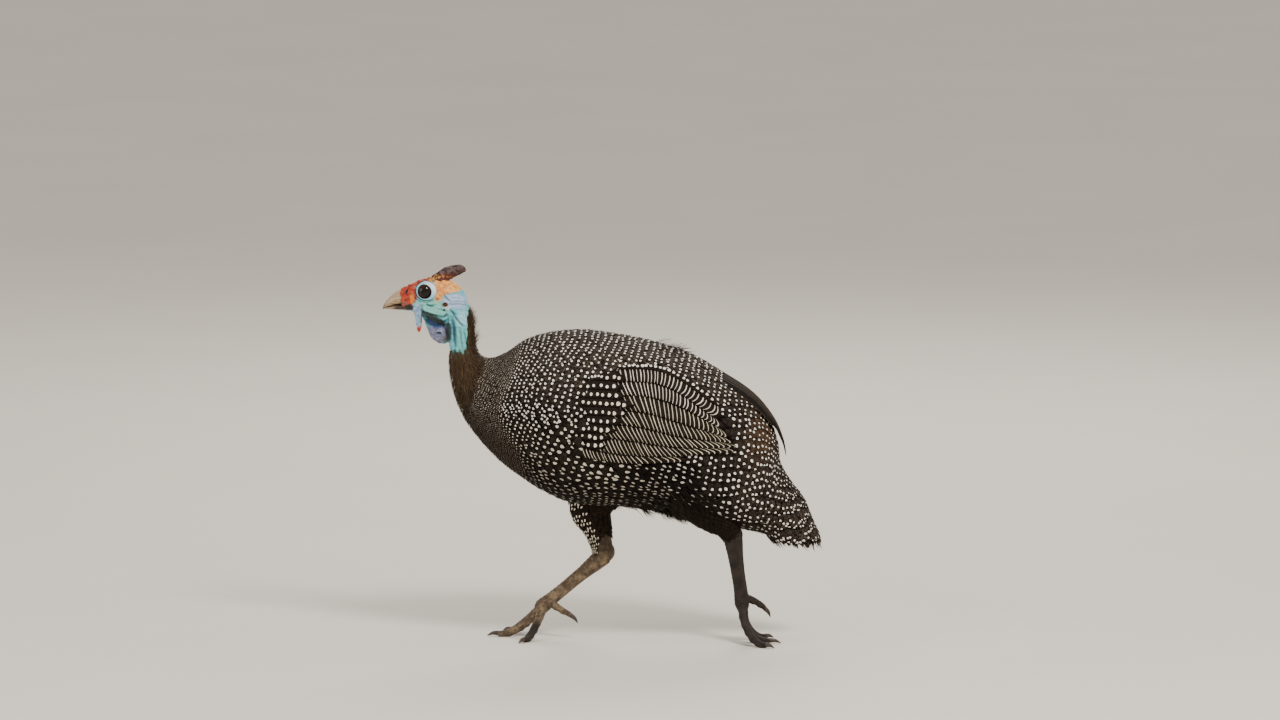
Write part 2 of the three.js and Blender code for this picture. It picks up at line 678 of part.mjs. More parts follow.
// Head: lids, rims of the ears, nostrils and caruncles on one smooth form
function headSolid() {
  const added = [headLoft(), caruncles()];
  const taken = [];
  for (const side of Object.values(SIDES)) {
    const lid = new THREE.TorusGeometry(LID.radius, LID.tube, 5, 12);
    added.push(solidOf(lid.rotateX(Math.PI / 2).translate(EYE.x, side * LID.y, EYE.z)));
    const rim = new THREE.TorusGeometry(EAR.radius + EAR.rim * 0.6, EAR.rim, 4, 8);
    added.push(solidOf(rim.rotateX(Math.PI / 2).translate(EAR.x, side * EAR.y, EAR.z)));
    taken.push(eyeBall(side, GAP));
    const ear = new THREE.CylinderGeometry(EAR.radius, EAR.radius * 0.7, EAR.depth * 2, 8);
    taken.push(solidOf(ear.translate(EAR.x, side * (EAR.y + 1), EAR.z)));
    const nostril = new THREE.CapsuleGeometry(NOSTRIL.radius, NOSTRIL.length, 2, 6).rotateZ(NOSTRIL.tilt);
    taken.push(solidOf(nostril.translate(NOSTRIL.x, side * NOSTRIL.y, NOSTRIL.z)));
  }
  return largest(wasm.Manifold.union(added).subtract(wasm.Manifold.union(taken)));
}

function neckFolds(side) {
  return NECK_FOLDS.map(([low, lowAngle, high, highAngle]) => {
    const rows = [0, 0.5, 1].map((t) => {
      const angle = -side * radians(lowAngle + (highAngle - lowAngle) * t);
      const at = bodyPoint(low + (high - low) * t, angle, -0.5);
      const radius = FOLD_RADIUS * (t === 0.5 ? 1 : 0.5);
      return [at.x, at.y, at.z, radius, radius];
    });
    return limb(rows, 5, 5);
  });
}

function wattleSolid(side) {
  const rows = WATTLE.map(([xFront, zFront, xRear, zRear, half], i) => [
    (xFront + xRear) / 2,
    side * (WATTLE_ROOT_Y + (WATTLE_FLARE * i) / (WATTLE.length - 1)),
    (zFront + zRear) / 2,
    Math.hypot(xFront - xRear, zFront - zRear) / 2,
    half,
  ]);
  return limb(rows, 8, 6);
}

// Leg: the feathered shin, and the shank with its toes parted by a thin cut above the hind toe
function legPieces(name, leg) {
  const shank = (grow) => limb(leg.shank, SHANK_SIDES, 9, grow);
  const toes = [];
  const claws = [];
  for (const [toe, points] of Object.entries(leg.toes)) {
    const rows = points.map((p, i) => [...p, TOE_RADII[toe][i], TOE_RADII[toe][i]]);
    const clawRows = leg.claws[toe].map((p, i) => [...p, CLAW_RADII[i], CLAW_RADII[i] * CLAW_FLATNESS]);
    toes.push(limb(rows, TOE_SIDES, 6));
    claws.push(limb(clawRows, CLAW_SIDES, 3, GAP));
    pieces[`claw_${name}_${toe}`] = largest(limb(clawRows, CLAW_SIDES, 3).subtract(floor));
  }
  const lower = wasm.Manifold.union([shank(0), ...toes]).subtract(wasm.Manifold.union(claws)).subtract(floor);
  const ends = [leg.shank[FOOT_CUT.above], leg.shank[FOOT_CUT.below]];
  const [above, below] = ends.map(([x, y, z]) => new THREE.Vector3(x, y, z));
  const along = above.clone().sub(below).normalize();
  const front = new THREE.Vector3().crossVectors(across, along).normalize();
  const frame = new THREE.Matrix4().makeBasis(front, new THREE.Vector3().crossVectors(along, front), along);
  frame.setPosition(above.lerp(below, FOOT_CUT.share));
  const cut = solidOf(new THREE.BoxGeometry(SHANK_CUT, SHANK_CUT, GAP).applyMatrix4(frame));
  const parts = lower.subtract(cut).decompose().sort((a, b) => b.volume() - a.volume()).slice(0, 2);
  parts.sort((a, b) => b.boundingBox().max[2] - a.boundingBox().max[2]);
  [pieces[`shank_${name}`], pieces[`foot_${name}`]] = parts;
  const shin = limb(leg.shin, SHIN_SIDES, 9).subtract(torsoGrown).subtract(shank(GAP));
  pieces[`leg_${name}`] = largest(shin);
}

const random = seeded(7);
const pieces = {};
const headGrown = headLoft(GAP);
const torsoGrown = bodyLoft(TAIL_ROOT - 1, NECK_ROOT + HIDDEN_END, BODY_STEPS, GAP);
const body = bodyLoft(TAIL_ROOT - 1, BODY.length - 1, BODY_STEPS);
const cuts = [TAIL_ROOT, NECK_ROOT, BARE_SKIN].map(cutAcross);
const parted = body.subtract(headGrown).subtract(wasm.Manifold.union(cuts)).decompose();
parted.sort((a, b) => rearOf(b) - rearOf(a));
const [, torso, neckLower, neckUpper] = parted;

pieces.torso = torso;
pieces.neck_lower = neckLower;
const nape = wasm.Manifold.union([...locks(NAPE, random), ...neckFolds(-1), ...neckFolds(1)]);
const bare = nape.subtract(headGrown).subtract(bodyLoft(BARE_SKIN - OVERLAP, BARE_SKIN, 6, GAP));
pieces.neck_upper = largest(neckUpper.add(bare));
const midline = solidOf(new THREE.BoxGeometry(REACH, GAP, REACH));
const tailRoom = tailCore();
const tail = wasm.Manifold.union([tailRoom, ...tailFeathers(random)]);
pieces.tail = largest(tail.subtract(cutAcross(TAIL_ROOT)));

pieces.head = headSolid();
const browGrown = headGrown.add(caruncles(GAP));
pieces.casque = largest(sectionLoft(CASQUE, 12, 10).subtract(browGrown));
pieces.bill_upper = largest(sectionLoft(BILL_UPPER, 12, 8).subtract(browGrown));
pieces.bill_lower = largest(sectionLoft(BILL_LOWER, 12, 6).subtract(headGrown));
const neckGrown = bodyLoft(BARE_SKIN - OVERLAP, BODY.length - 1, 12, GAP);
pieces.throat_fold = largest(sectionLoft(THROAT, 10, 7).subtract(headGrown).subtract(neckGrown));

for (const [name, side] of Object.entries(SIDES)) {
  pieces[`eye_${name}`] = eyeBall(side, 0);
  pieces[`wattle_${name}`] = largest(wattleSolid(side).subtract(headGrown));
  const primaries = wasm.Manifold.union([primaryCore(side), ...primaryFeathers(side, random)]);
  pieces[`primaries_${name}`] = largest(primaries.subtract(torsoGrown).subtract(tailRoom).subtract(midline));
  const wing = wasm.Manifold.union([wingCore(side), ...wingFeathers(side, random)]);
  pieces[`wing_${name}`] = largest(wing.subtract(torsoGrown).subtract(primaryClearance(side)));
  legPieces(name, LEGS[name]);
}

const MATERIALS = {
  casque: COLOUR.casque,
  bill: COLOUR.horn,
  eye: COLOUR.eye,
  head: COLOUR.skin,
  neck_upper: COLOUR.skin,
  wattle: COLOUR.skin,
  throat: COLOUR.throat,
  shank: COLOUR.leg,
  foot: COLOUR.leg,
  claw: COLOUR.claw,
};

// The middle of the whole bird's length stands over the origin.
const boxes = Object.values(pieces).map((solid) => solid.boundingBox());
const rear = Math.max(...boxes.map((box) => box.max[0]));
const front = Math.min(...boxes.map((box) => box.min[0]));

const group = new THREE.Group();
for (const [name, solid] of Object.entries(pieces)) {
  const kind = Object.keys(MATERIALS).find((start) => name.startsWith(start));
  const color = MATERIALS[kind] ?? COLOUR.plumage;
  const material = new THREE.MeshStandardMaterial({ color, roughness: 0.8 });
  const mesh = new THREE.Mesh(geometryOf(solid.translate([-(front + rear) / 2, 0, 0])), material);
  mesh.name = name;
  group.add(mesh);
}

export default group;
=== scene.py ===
import math

import bpy
import numpy as np
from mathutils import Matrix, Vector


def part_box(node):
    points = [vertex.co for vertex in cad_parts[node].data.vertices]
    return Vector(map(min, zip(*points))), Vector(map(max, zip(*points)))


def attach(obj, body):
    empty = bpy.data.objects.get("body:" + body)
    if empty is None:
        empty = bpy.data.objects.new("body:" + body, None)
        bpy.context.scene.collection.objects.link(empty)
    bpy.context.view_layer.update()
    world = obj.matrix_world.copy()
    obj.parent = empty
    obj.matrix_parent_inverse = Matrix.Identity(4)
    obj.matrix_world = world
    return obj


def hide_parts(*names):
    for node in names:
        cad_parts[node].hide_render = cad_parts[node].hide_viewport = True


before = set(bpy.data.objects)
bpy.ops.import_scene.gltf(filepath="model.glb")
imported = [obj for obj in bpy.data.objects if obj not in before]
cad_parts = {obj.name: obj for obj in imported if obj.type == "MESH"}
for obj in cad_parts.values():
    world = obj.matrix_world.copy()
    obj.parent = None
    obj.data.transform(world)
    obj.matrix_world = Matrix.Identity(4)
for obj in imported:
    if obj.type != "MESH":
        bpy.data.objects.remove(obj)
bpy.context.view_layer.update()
rng = np.random.default_rng(11)

MM = 0.001
EYE = {"x": -175.0, "z": 354.0, "y": 8.2, "radius": 7.9, "bulge": 5.5}
EYE_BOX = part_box("eye_left")
SHIFT = (EYE_BOX[0].x + EYE_BOX[1].x) / 2 / MM - EYE["x"]
SIDES = {"left": -1, "right": 1}

# Outline of the trunk from the tail's end to the top of the neck. Each station is one slanting section:
# x and z on the back, x and z on the belly, and half the width. Places count from the third station.
TRUNK = [
    [222, 97, 174, 98, 24],
    [220, 108, 169, 103, 26],
    [213, 124, 164, 109, 29],
    [204, 145, 153, 112, 35],
    [192, 161, 142, 114, 41],
    [181, 180, 130, 116, 47],
    [178, 201, 118, 119, 53],
    [170, 224, 104, 122, 59],
    [152, 249, 86, 126, 65],
    [125, 270, 66, 130, 70],
    [94, 289, 43, 134, 73],
    [57, 302, 17, 137, 74.5],
    [19, 310, -8, 138, 74],
    [-17, 314.5, -32, 141, 70.5],
    [-49, 312, -57, 152, 64],
    [-73, 305, -80, 167, 55],
    [-91, 293, -102, 184, 45],
    [-104, 286.5, -121, 205, 36],
    [-114, 286, -136, 226, 29],
    [-120, 290, -145, 247, 23.5],
    [-124, 299, -150, 268, 19],
    [-126, 310, -151, 286, 16],
    [-127.5, 321, -151, 300, 14.3],
    [-129, 332, -154, 311, 13.6],
    [-132, 342, -158, 321, 12.5],
]
FIRST_PLACE = 2
LAST_PLACE = 22
FULLNESS = 0.08
COAT_DEPTH = 3.0
SHIN_DEPTHS = [COAT_DEPTH, COAT_DEPTH, COAT_DEPTH, 2.2, 1.4, 0.8, 0.4]
# Where the feathers' tips end at the tail, and how far ahead of its tip a feather's looks are read
TAIL_END = -1.95
AHEAD = 0.9
# Where the rear and the front part of the body's coat meet
REAR_END = 10

HEAD = [
    [-131, 338, -131, 326, 5],
    [-134.5, 350, -136, 317, 10.5],
    [-141, 359.2, -146, 315, 13],
    [-150, 364.6, -156, 319, 13.8],
    [-161, 367, -165, 324, 13.6],
    [-171, 366.6, -173, 328.5, 12.6],
    [-180, 364.4, -181, 331.5, 11],
    [-189, 360.2, -189, 333.5, 9],
    [-196.5, 356.6, -196, 334.5, 8.1],
    [-199.4, 355.4, -198, 338.6, 8.1],
]
BILL_UPPER = [
    [-193, 357, -193, 340.5, 7],
    [-199, 355.2, -199, 340, 6.6],
    [-205, 351.6, -205, 339, 5.4],
    [-211, 346.2, -211, 337.6, 3.8],
    [-215.5, 340.5, -215, 336, 2.2],
    [-217.3, 336, -217, 334.8, 0.7],
]
BILL_LOWER = [
    [-193, 341.1, -193, 334.4, 6.2],
    [-200, 340.6, -200, 334.6, 5.4],
    [-207, 339.2, -207, 334.9, 3.8],
    [-213, 337.4, -213, 335.5, 1.7],
    [-216, 336.4, -215.8, 335.7, 0.5],
]
CASQUE = [
    [-171, 361, -150, 359, 6.4],
    [-169, 367, -150, 364.8, 5.8],
    [-163, 372, -147.6, 366.4, 5],
    [-156, 376.6, -144.8, 367.8, 4.5],
    [-148.4, 379.2, -141.6, 369.2, 4],
    [-141, 380, -138.2, 370.8, 3.5],
    [-136, 378.2, -135, 372.6, 2.5],
    [-134.4, 376.6, -134, 374, 1.2],
]
THROAT = [
    [-180, 332, -150, 322, 4.5],
    [-176, 324, -150, 314, 6.4],
    [-172, 314, -149, 306, 6.8],
    [-168, 305.5, -151, 302.5, 4.8],
    [-161, 300.8, -155, 300.4, 1.8],
]
# The wattle's centre x, distance from the midline, z, half depth and half width, down from the gape
WATTLE = [
    [-184, 8.8, 341, 5.6, 2.2],
    [-182.2, 9.5, 334, 4.1, 2.2],
    [-181.2, 10.2, 327.5, 3.3, 2.1],
    [-180.8, 10.9, 320.8, 2.8, 1.9],
    [-180.7, 11.6, 315.8, 1.9, 1.5],
    [-180.6, 12.2, 313.2, 0.8, 0.7],
]
EAR = {"x": -154.5, "z": 341.4}
# Creases in the skin of the head: points x, z, then depth, width and darkness of the painted shade along
# them
CREASES = [
    ([[-156.4, 352.1], [-154.6, 349.3], [-152.3, 346.7], [-150.3, 345.5]], 1.0, 0.8, 0.9),
    ([[-155.8, 352.8], [-151.1, 351.6], [-144.7, 351.9], [-140, 353.1]], 0.5, 0.8, 0.35),
    ([[-150.8, 344.3], [-142.3, 345], [-134.1, 343.1]], 0.6, 0.7, 0.4),
    ([[-151, 341.2], [-143.5, 341.9], [-132.4, 340.7]], 0.7, 0.8, 0.5),
    ([[-149.4, 347.5], [-144.1, 348.1], [-138.2, 347.1]], 0.4, 0.7, 0.3),
    ([[-148.5, 335], [-146, 332.5], [-142.6, 326.4], [-139.4, 322.4], [-136.2, 319.6]], 1.1, 1.3, 1.0),
    ([[-178.5, 335.2], [-168.1, 331.3], [-159.9, 328.9], [-155.5, 328.5], [-152.7, 331]], 1.5, 1.1, 0.9),
    ([[-173.7, 341.5], [-169.9, 339.8], [-164.6, 340.5]], 0.9, 0.9, 0.8),
    ([[-163.4, 337.2], [-158.7, 336], [-153.5, 334.1]], 0.5, 0.9, 0.35),
    ([[-151.1, 338.6], [-149.1, 335.5], [-148, 332.9]], 0.6, 0.8, 0.5),
    ([[-185.1, 347.5], [-179.8, 344.1], [-172.8, 343.1], [-165.2, 345.7]], 0.8, 0.9, 0.5),
    ([[-168.1, 328], [-162.3, 325.4], [-156.6, 323.5], [-153, 325]], 0.9, 1.0, 0.7),
    ([[-154, 332], [-151, 328], [-151.5, 322], [-149, 316]], 0.7, 0.9, 0.6),
    ([[-148, 328], [-147, 319], [-145.6, 309], [-143.6, 300]], 1.4, 1.5, 0.6),
    ([[-139.5, 318], [-139, 308], [-137.6, 300], [-136, 294]], 0.9, 1.1, 0.55),
    ([[-135.4, 314], [-134, 306], [-132.4, 300]], 0.8, 0.9, 0.6),
    ([[-163.4, 311.6], [-161, 312.2], [-158.8, 311.8]], 1.2, 0.9, 1.0),
]
NOSTRIL = {"x": -193.0, "z": 353.8}

# Each leg: centres x, y, z with half the depth and half the width
LEGS = {
    "right": {
        "hock": [4.2, 28, 85.5],
        "shin": [
            [12, 34, 176, 36, 20],
            [-2, 33, 150, 30, 18],
            [-8, 32, 128, 23, 16],
            [-3, 31, 110, 15.5, 13],
            [0.5, 30, 98, 12.6, 10.5],
            [2.5, 29, 88, 11.2, 8.8],
            [3, 28, 80, 11, 8.2],
        ],
        "shank": [
            [4, 28, 82, 9.6, 7.4],
            [-6, 27.4, 73.4, 8.4, 6.2],
            [-18, 26.5, 63.6, 6.9, 5],
            [-34, 25, 50.4, 6.4, 4.7],
            [-49, 23.5, 38.2, 6.8, 5.4],
            [-58, 22, 31, 7.6, 7],
            [-62, 22, 27, 5.6, 6.2],
        ],
        "toes": {
            "middle": [[-59, 22, 29], [-71, 22.4, 18.5], [-83, 23, 8.8], [-93, 23.6, 3.3],
                       [-102.5, 24, 2.3]],
            "inner": [[-58, 18.5, 29], [-62.5, 9, 18], [-67.5, -1, 8.8], [-72.5, -9, 3.1],
                      [-76, -14.5, 2.2]],
            "outer": [[-58, 26, 29], [-68, 33, 18], [-77, 40, 8.8], [-85, 46, 3.1], [-90, 50, 2.2]],
            "hind": [[-52, 20, 36], [-44, 14.5, 31.5], [-36, 11.6, 27], [-30, 10.4, 24]],
        },
        "claws": {
            "middle": [[-102.5, 24, 3.4], [-108, 24.3, 3.2], [-113.5, 24.6, 0.8]],
            "inner": [[-76, -14.5, 3.2], [-78.8, -18.6, 3], [-81.5, -22.5, 0.8]],
            "outer": [[-90, 50, 3.2], [-94, 53.2, 3], [-98, 56.4, 0.8]],
            "hind": [[-30, 10.4, 24], [-25.6, 9.6, 20.6], [-22.5, 9.2, 16]],
        },
    },
    "left": {
        "hock": [132.2, -28.3, 111],
        "shin": [
            [78, -38, 196, 44, 20],
            [90, -39, 176, 40, 20],
            [101, -38, 157, 34, 18],
            [111, -35, 141, 27, 15],
            [120, -31.5, 128, 19.5, 12],
            [127, -29.5, 119, 13, 10],
            [131.6, -28.5, 111, 10.8, 8.8],
        ],
        "shank": [
            [132.4, -28.2, 113, 10, 7.8],
            [133.8, -27.6, 103, 9.2, 6.9],
            [135.6, -26.4, 90, 7.8, 5.7],
            [138, -24.6, 73, 6.9, 5],
            [140.6, -22.6, 56, 6.8, 5.2],
            [142.2, -21, 41, 7.4, 6.8],
            [143.2, -20.6, 35, 5.6, 6.2],
        ],
        "toes": {
            "middle": [[142.6, -20.4, 37], [145, -20.8, 22], [151, -21.2, 9.4], [161, -21.6, 3.3],
                       [170, -22, 2.3]],
            "inner": [[142.6, -17, 37], [145, -10, 22], [151, -3, 10], [159, 3, 3.2], [166, 7, 2.2]],
            "outer": [[142.6, -24, 37], [145, -31, 22], [151, -38, 10], [159, -44, 3.2], [166, -48, 2.2]],
            "hind": [[144, -18, 46], [152.5, -15.4, 43], [160, -14.2, 38.6], [165, -13.8, 34.6]],
        },
        "claws": {
            "middle": [[170, -22, 3.4], [175.6, -22.3, 3.2], [181, -22.6, 0.8]],
            "inner": [[166, 7, 3.2], [170, 9.8, 3], [174, 12.6, 0.8]],
            "outer": [[166, -48, 3.2], [170, -50.8, 3], [174, -53.6, 0.8]],
            "hind": [[165, -13.8, 34.6], [168.6, -13.4, 30.6], [170.6, -13.2, 25.6]],
        },
    },
}
TOE_RADII = {"middle": [5.4, 4.5, 4.2, 3.9, 3.1], "hind": [4.8, 3.7, 3.2, 2.6]}
TOE_RADII["inner"] = TOE_RADII["outer"] = [5, 4.2, 3.9, 3.6, 2.9]
CLAW_RADII = [2.5, 1.8, 0.4]
CLAW_FLATNESS = 0.8
HOCK_RADII = (10.7, 8.2, 11)

# How fine the skin's surface is, in millimetres, at the head and on the legs
HEAD_VOXEL = 0.62
LEG_VOXEL = 0.8

# Half the depth of a patch of colour, enough to go right through the head
THROUGH = 60

# The number of loose feathers of each kind
BRISTLES = 330
BELLY_TUFTS = 3000
BACK_TUFTS = 60
FRINGE = 420
PRIMARIES = 6


def smoothstep(low, high, value):
    t = np.clip((np.asarray(value, float) - low) / (high - low), 0, 1)
    return t * t * (3 - 2 * t)


def unit(v):
    return v / np.maximum(np.linalg.norm(v, axis=-1, keepdims=True), 1e-9)


# A Catmull-Rom curve through rows of numbers, at places counted in rows
def between(rows, place, pick=None, last=None):
    rows = np.asarray(rows, float)
    last = last or len(rows) - 1
    place = np.asarray(place, float)
    i = np.clip(np.floor(np.nan_to_num(place)).astype(int), 0, last - 1)
    t = (place - i)[..., None]
    row = pick or (lambda k: rows[k])
    a, b = row(i), row(i + 1)
    before = np.where((i > 0)[..., None], row(np.maximum(i - 1, 0)), 2 * a - b)
    after = np.where((i + 2 <= last)[..., None], row(np.minimum(i + 2, last)), 2 * b - a)
    leave = (b - before) / 2
    arrive = (after - a) / 2
    return a + t * (leave + t * (3 * (b - a) - 2 * leave - arrive + t * (2 * (a - b) + leave + arrive)))


# A point of a form laid out in slanting sections, angle 0 on top and a quarter turn on the left side
def section(rows, place, angle, fullness=0.0):
    x_top, z_top, x_low, z_low, half = np.moveaxis(between(rows, place), -1, 0)
    c = np.cos(angle)
    x = (x_top + x_low + (x_top - x_low) * c) / 2
    z = (z_top + z_low + (z_top - z_low) * c) / 2
    return np.stack([x, -half * np.sin(angle) * (1 - fullness * c), z], -1)


def trunk(place, angle):
    return section(TRUNK, np.asarray(place, float) + FIRST_PLACE, angle, FULLNESS)


# A point of a limb along centres x, y, z with half its depth and half its width, angle 0 in front
def limb(rows, place, angle):
    last = len(rows) - 1
    place = np.asarray(place, float)
    at = between(rows, place)
    ahead = between(rows, np.minimum(place + 0.05, last))[..., :3]
    behind = between(rows, np.maximum(place - 0.05, 0))[..., :3]
    way = unit(ahead - behind)
    across = np.array([0.0, 1.0, 0.0])
    side = unit(across - way * (way @ across)[..., None])
    front = np.cross(side, way)
    depth, width = at[..., 3:4], at[..., 4:5]
    return at[..., :3] + front * depth * np.cos(angle)[..., None] + side * width * np.sin(angle)[..., None]


def raised(surface, place, angle, height, hand=1):
    step = 0.01
    at = surface(place, angle)
    along = surface(place + step, angle) - at
    around = surface(place, angle + step) - at
    return at + np.asarray(height)[..., None] * unit(np.cross(along, around)) * hand

def hump(value, middle, width):
    return np.exp(-(((value - middle) / width) ** 2))


# Smooth noise from -1 to 1 at points, the same on every run
def noise(points, size, seed=0):
    p = np.asarray(points, float) / size + 37.1 * seed
    cell = np.floor(p).astype(np.int64)
    f = p - cell
    f = f * f * (3 - 2 * f)
    total = np.zeros(p.shape[:-1])
    for corner in range(8):
        bits = np.array([corner & 1, corner >> 1 & 1, corner >> 2 & 1])
        c = cell + bits
        mixed = (c[..., 0] * 73856093) ^ (c[..., 1] * 19349663) ^ (c[..., 2] * 83492791) ^ (seed * 2654435)
        mixed = (mixed ^ (mixed >> 13)) * 1274126177 & 0x7FFFFFFF
        value = ((mixed ^ (mixed >> 16)) & 0xFFFF) / 32767.5 - 1
        weight = np.prod(np.where(bits, f, 1 - f), axis=-1)
        total += value * weight
    return total


def quads(rows, columns, wide):
    """Two triangles for each cell of a grid of points, closed round where it has as many cells as points."""
    i, j = np.meshgrid(np.arange(rows), np.arange(columns), indexing="ij")
    a, b = (i * wide + j).ravel(), (i * wide + (j + 1) % wide).ravel()
    return np.vstack([np.stack([a, b, b + wide], 1), np.stack([a, b + wide, a + wide], 1)])


def loft(surface, places, sides):
    """A closed triangle mesh through rings of a surface."""
    angles = np.arange(sides) * 2 * np.pi / sides
    grid = surface(np.repeat(places[:, None], sides, 1), np.repeat(angles[None], len(places), 0))
    points = np.vstack([grid.reshape(-1, 3), grid[0].mean(0), grid[-1].mean(0)])
    ring = np.arange(sides)
    turned = (ring + 1) % sides
    end = (len(places) - 1) * sides
    first_fan = np.stack([np.full(sides, end + sides), turned, ring], 1)
    last_fan = np.stack([np.full(sides, end + sides + 1), end + ring, end + turned], 1)
    tris = np.vstack([quads(len(places) - 1, sides, sides), first_fan, last_fan])
    a, b, c = points[tris[:, 0]], points[tris[:, 1]], points[tris[:, 2]]
    if np.einsum("ij,ij->", a, np.cross(b, c)) < 0:
        tris = tris[:, ::-1]
    return points, tris


def lofted(form, rows, rings, sides, start=0):
    """The closed mesh of a form, section or limb, through all its rows."""
    places = np.linspace(start, len(rows) - 1, rings)
    return loft(lambda place, angle: form(rows, place, angle), places, sides)


def ball(centre, radii, turns=16):
    def shell(place, angle):
        ring = np.sin(np.pi * place)
        way = np.stack([np.cos(np.pi * place), ring * np.cos(angle), ring * np.sin(angle)], -1)
        return np.array(centre) + way * np.array(radii)

    return loft(shell, np.linspace(0.02, 0.98, turns), turns * 2)


def joined(parts):
    points, tris, count = [], [], 0
    for p, t in parts:
        points.append(p)
        tris.append(t + count)
        count += len(p)
    return np.vstack(points), np.vstack(tris)


def make(name, points, tris, material, smooth=True):
    """An object from points in millimetres and triangles."""
    mesh = bpy.data.meshes.new(name)
    placed = (np.asarray(points, float) + [SHIFT, 0, 0]) * MM
    mesh.vertices.add(len(placed))
    mesh.vertices.foreach_set("co", placed.astype(np.float32).ravel())
    mesh.loops.add(tris.size)
    mesh.loops.foreach_set("vertex_index", tris.astype(np.int32).ravel())
    mesh.polygons.add(len(tris))
    mesh.polygons.foreach_set("loop_start", np.arange(0, tris.size, 3, dtype=np.int32))
    mesh.update(calc_edges=True)
    mesh.validate()
    mesh.polygons.foreach_set("use_smooth", np.full(len(mesh.polygons), smooth))
    obj = bpy.data.objects.new(name, mesh)
    bpy.context.scene.collection.objects.link(obj)
    mesh.materials.append(material)
    return obj


def finished(obj, slot, *nodes):
    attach(obj, "root")
    if nodes:
        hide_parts(*nodes)
    return obj


def remeshed(parts, voxel, smooth_steps):
    """One surface round overlapping closed forms: its points and triangles in millimetres."""
    points, tris = joined(parts)
    obj = make("blank", points, tris, None, False)
    remesh = obj.modifiers.new("remesh", "REMESH")
    remesh.mode = "VOXEL"
    remesh.voxel_size = voxel * MM
    if smooth_steps:
        soft = obj.modifiers.new("soft", "SMOOTH")
        soft.iterations = smooth_steps
        soft.factor = 0.5
    split = obj.modifiers.new("split", "TRIANGULATE")
    split.min_vertices = 4
    bpy.context.view_layer.update()
    result = bpy.data.meshes.new_from_object(obj.evaluated_get(bpy.context.evaluated_depsgraph_get()))
    co = np.zeros(len(result.vertices) * 3, np.float32)
    result.vertices.foreach_get("co", co)
    index = np.zeros(len(result.loops), np.int32)
    result.loops.foreach_get("vertex_index", index)
    bpy.data.objects.remove(obj)
    bpy.data.meshes.remove(result)
    return co.reshape(-1, 3).astype(float) / MM - [SHIFT, 0, 0], index.reshape(-1, 3)


def normals(points, tris):
    a, b, c = points[tris[:, 0]], points[tris[:, 1]], points[tris[:, 2]]
    face = np.cross(b - a, c - a)
    total = np.zeros_like(points)
    for k in range(3):
        np.add.at(total, tris[:, k], face)
    return unit(total)


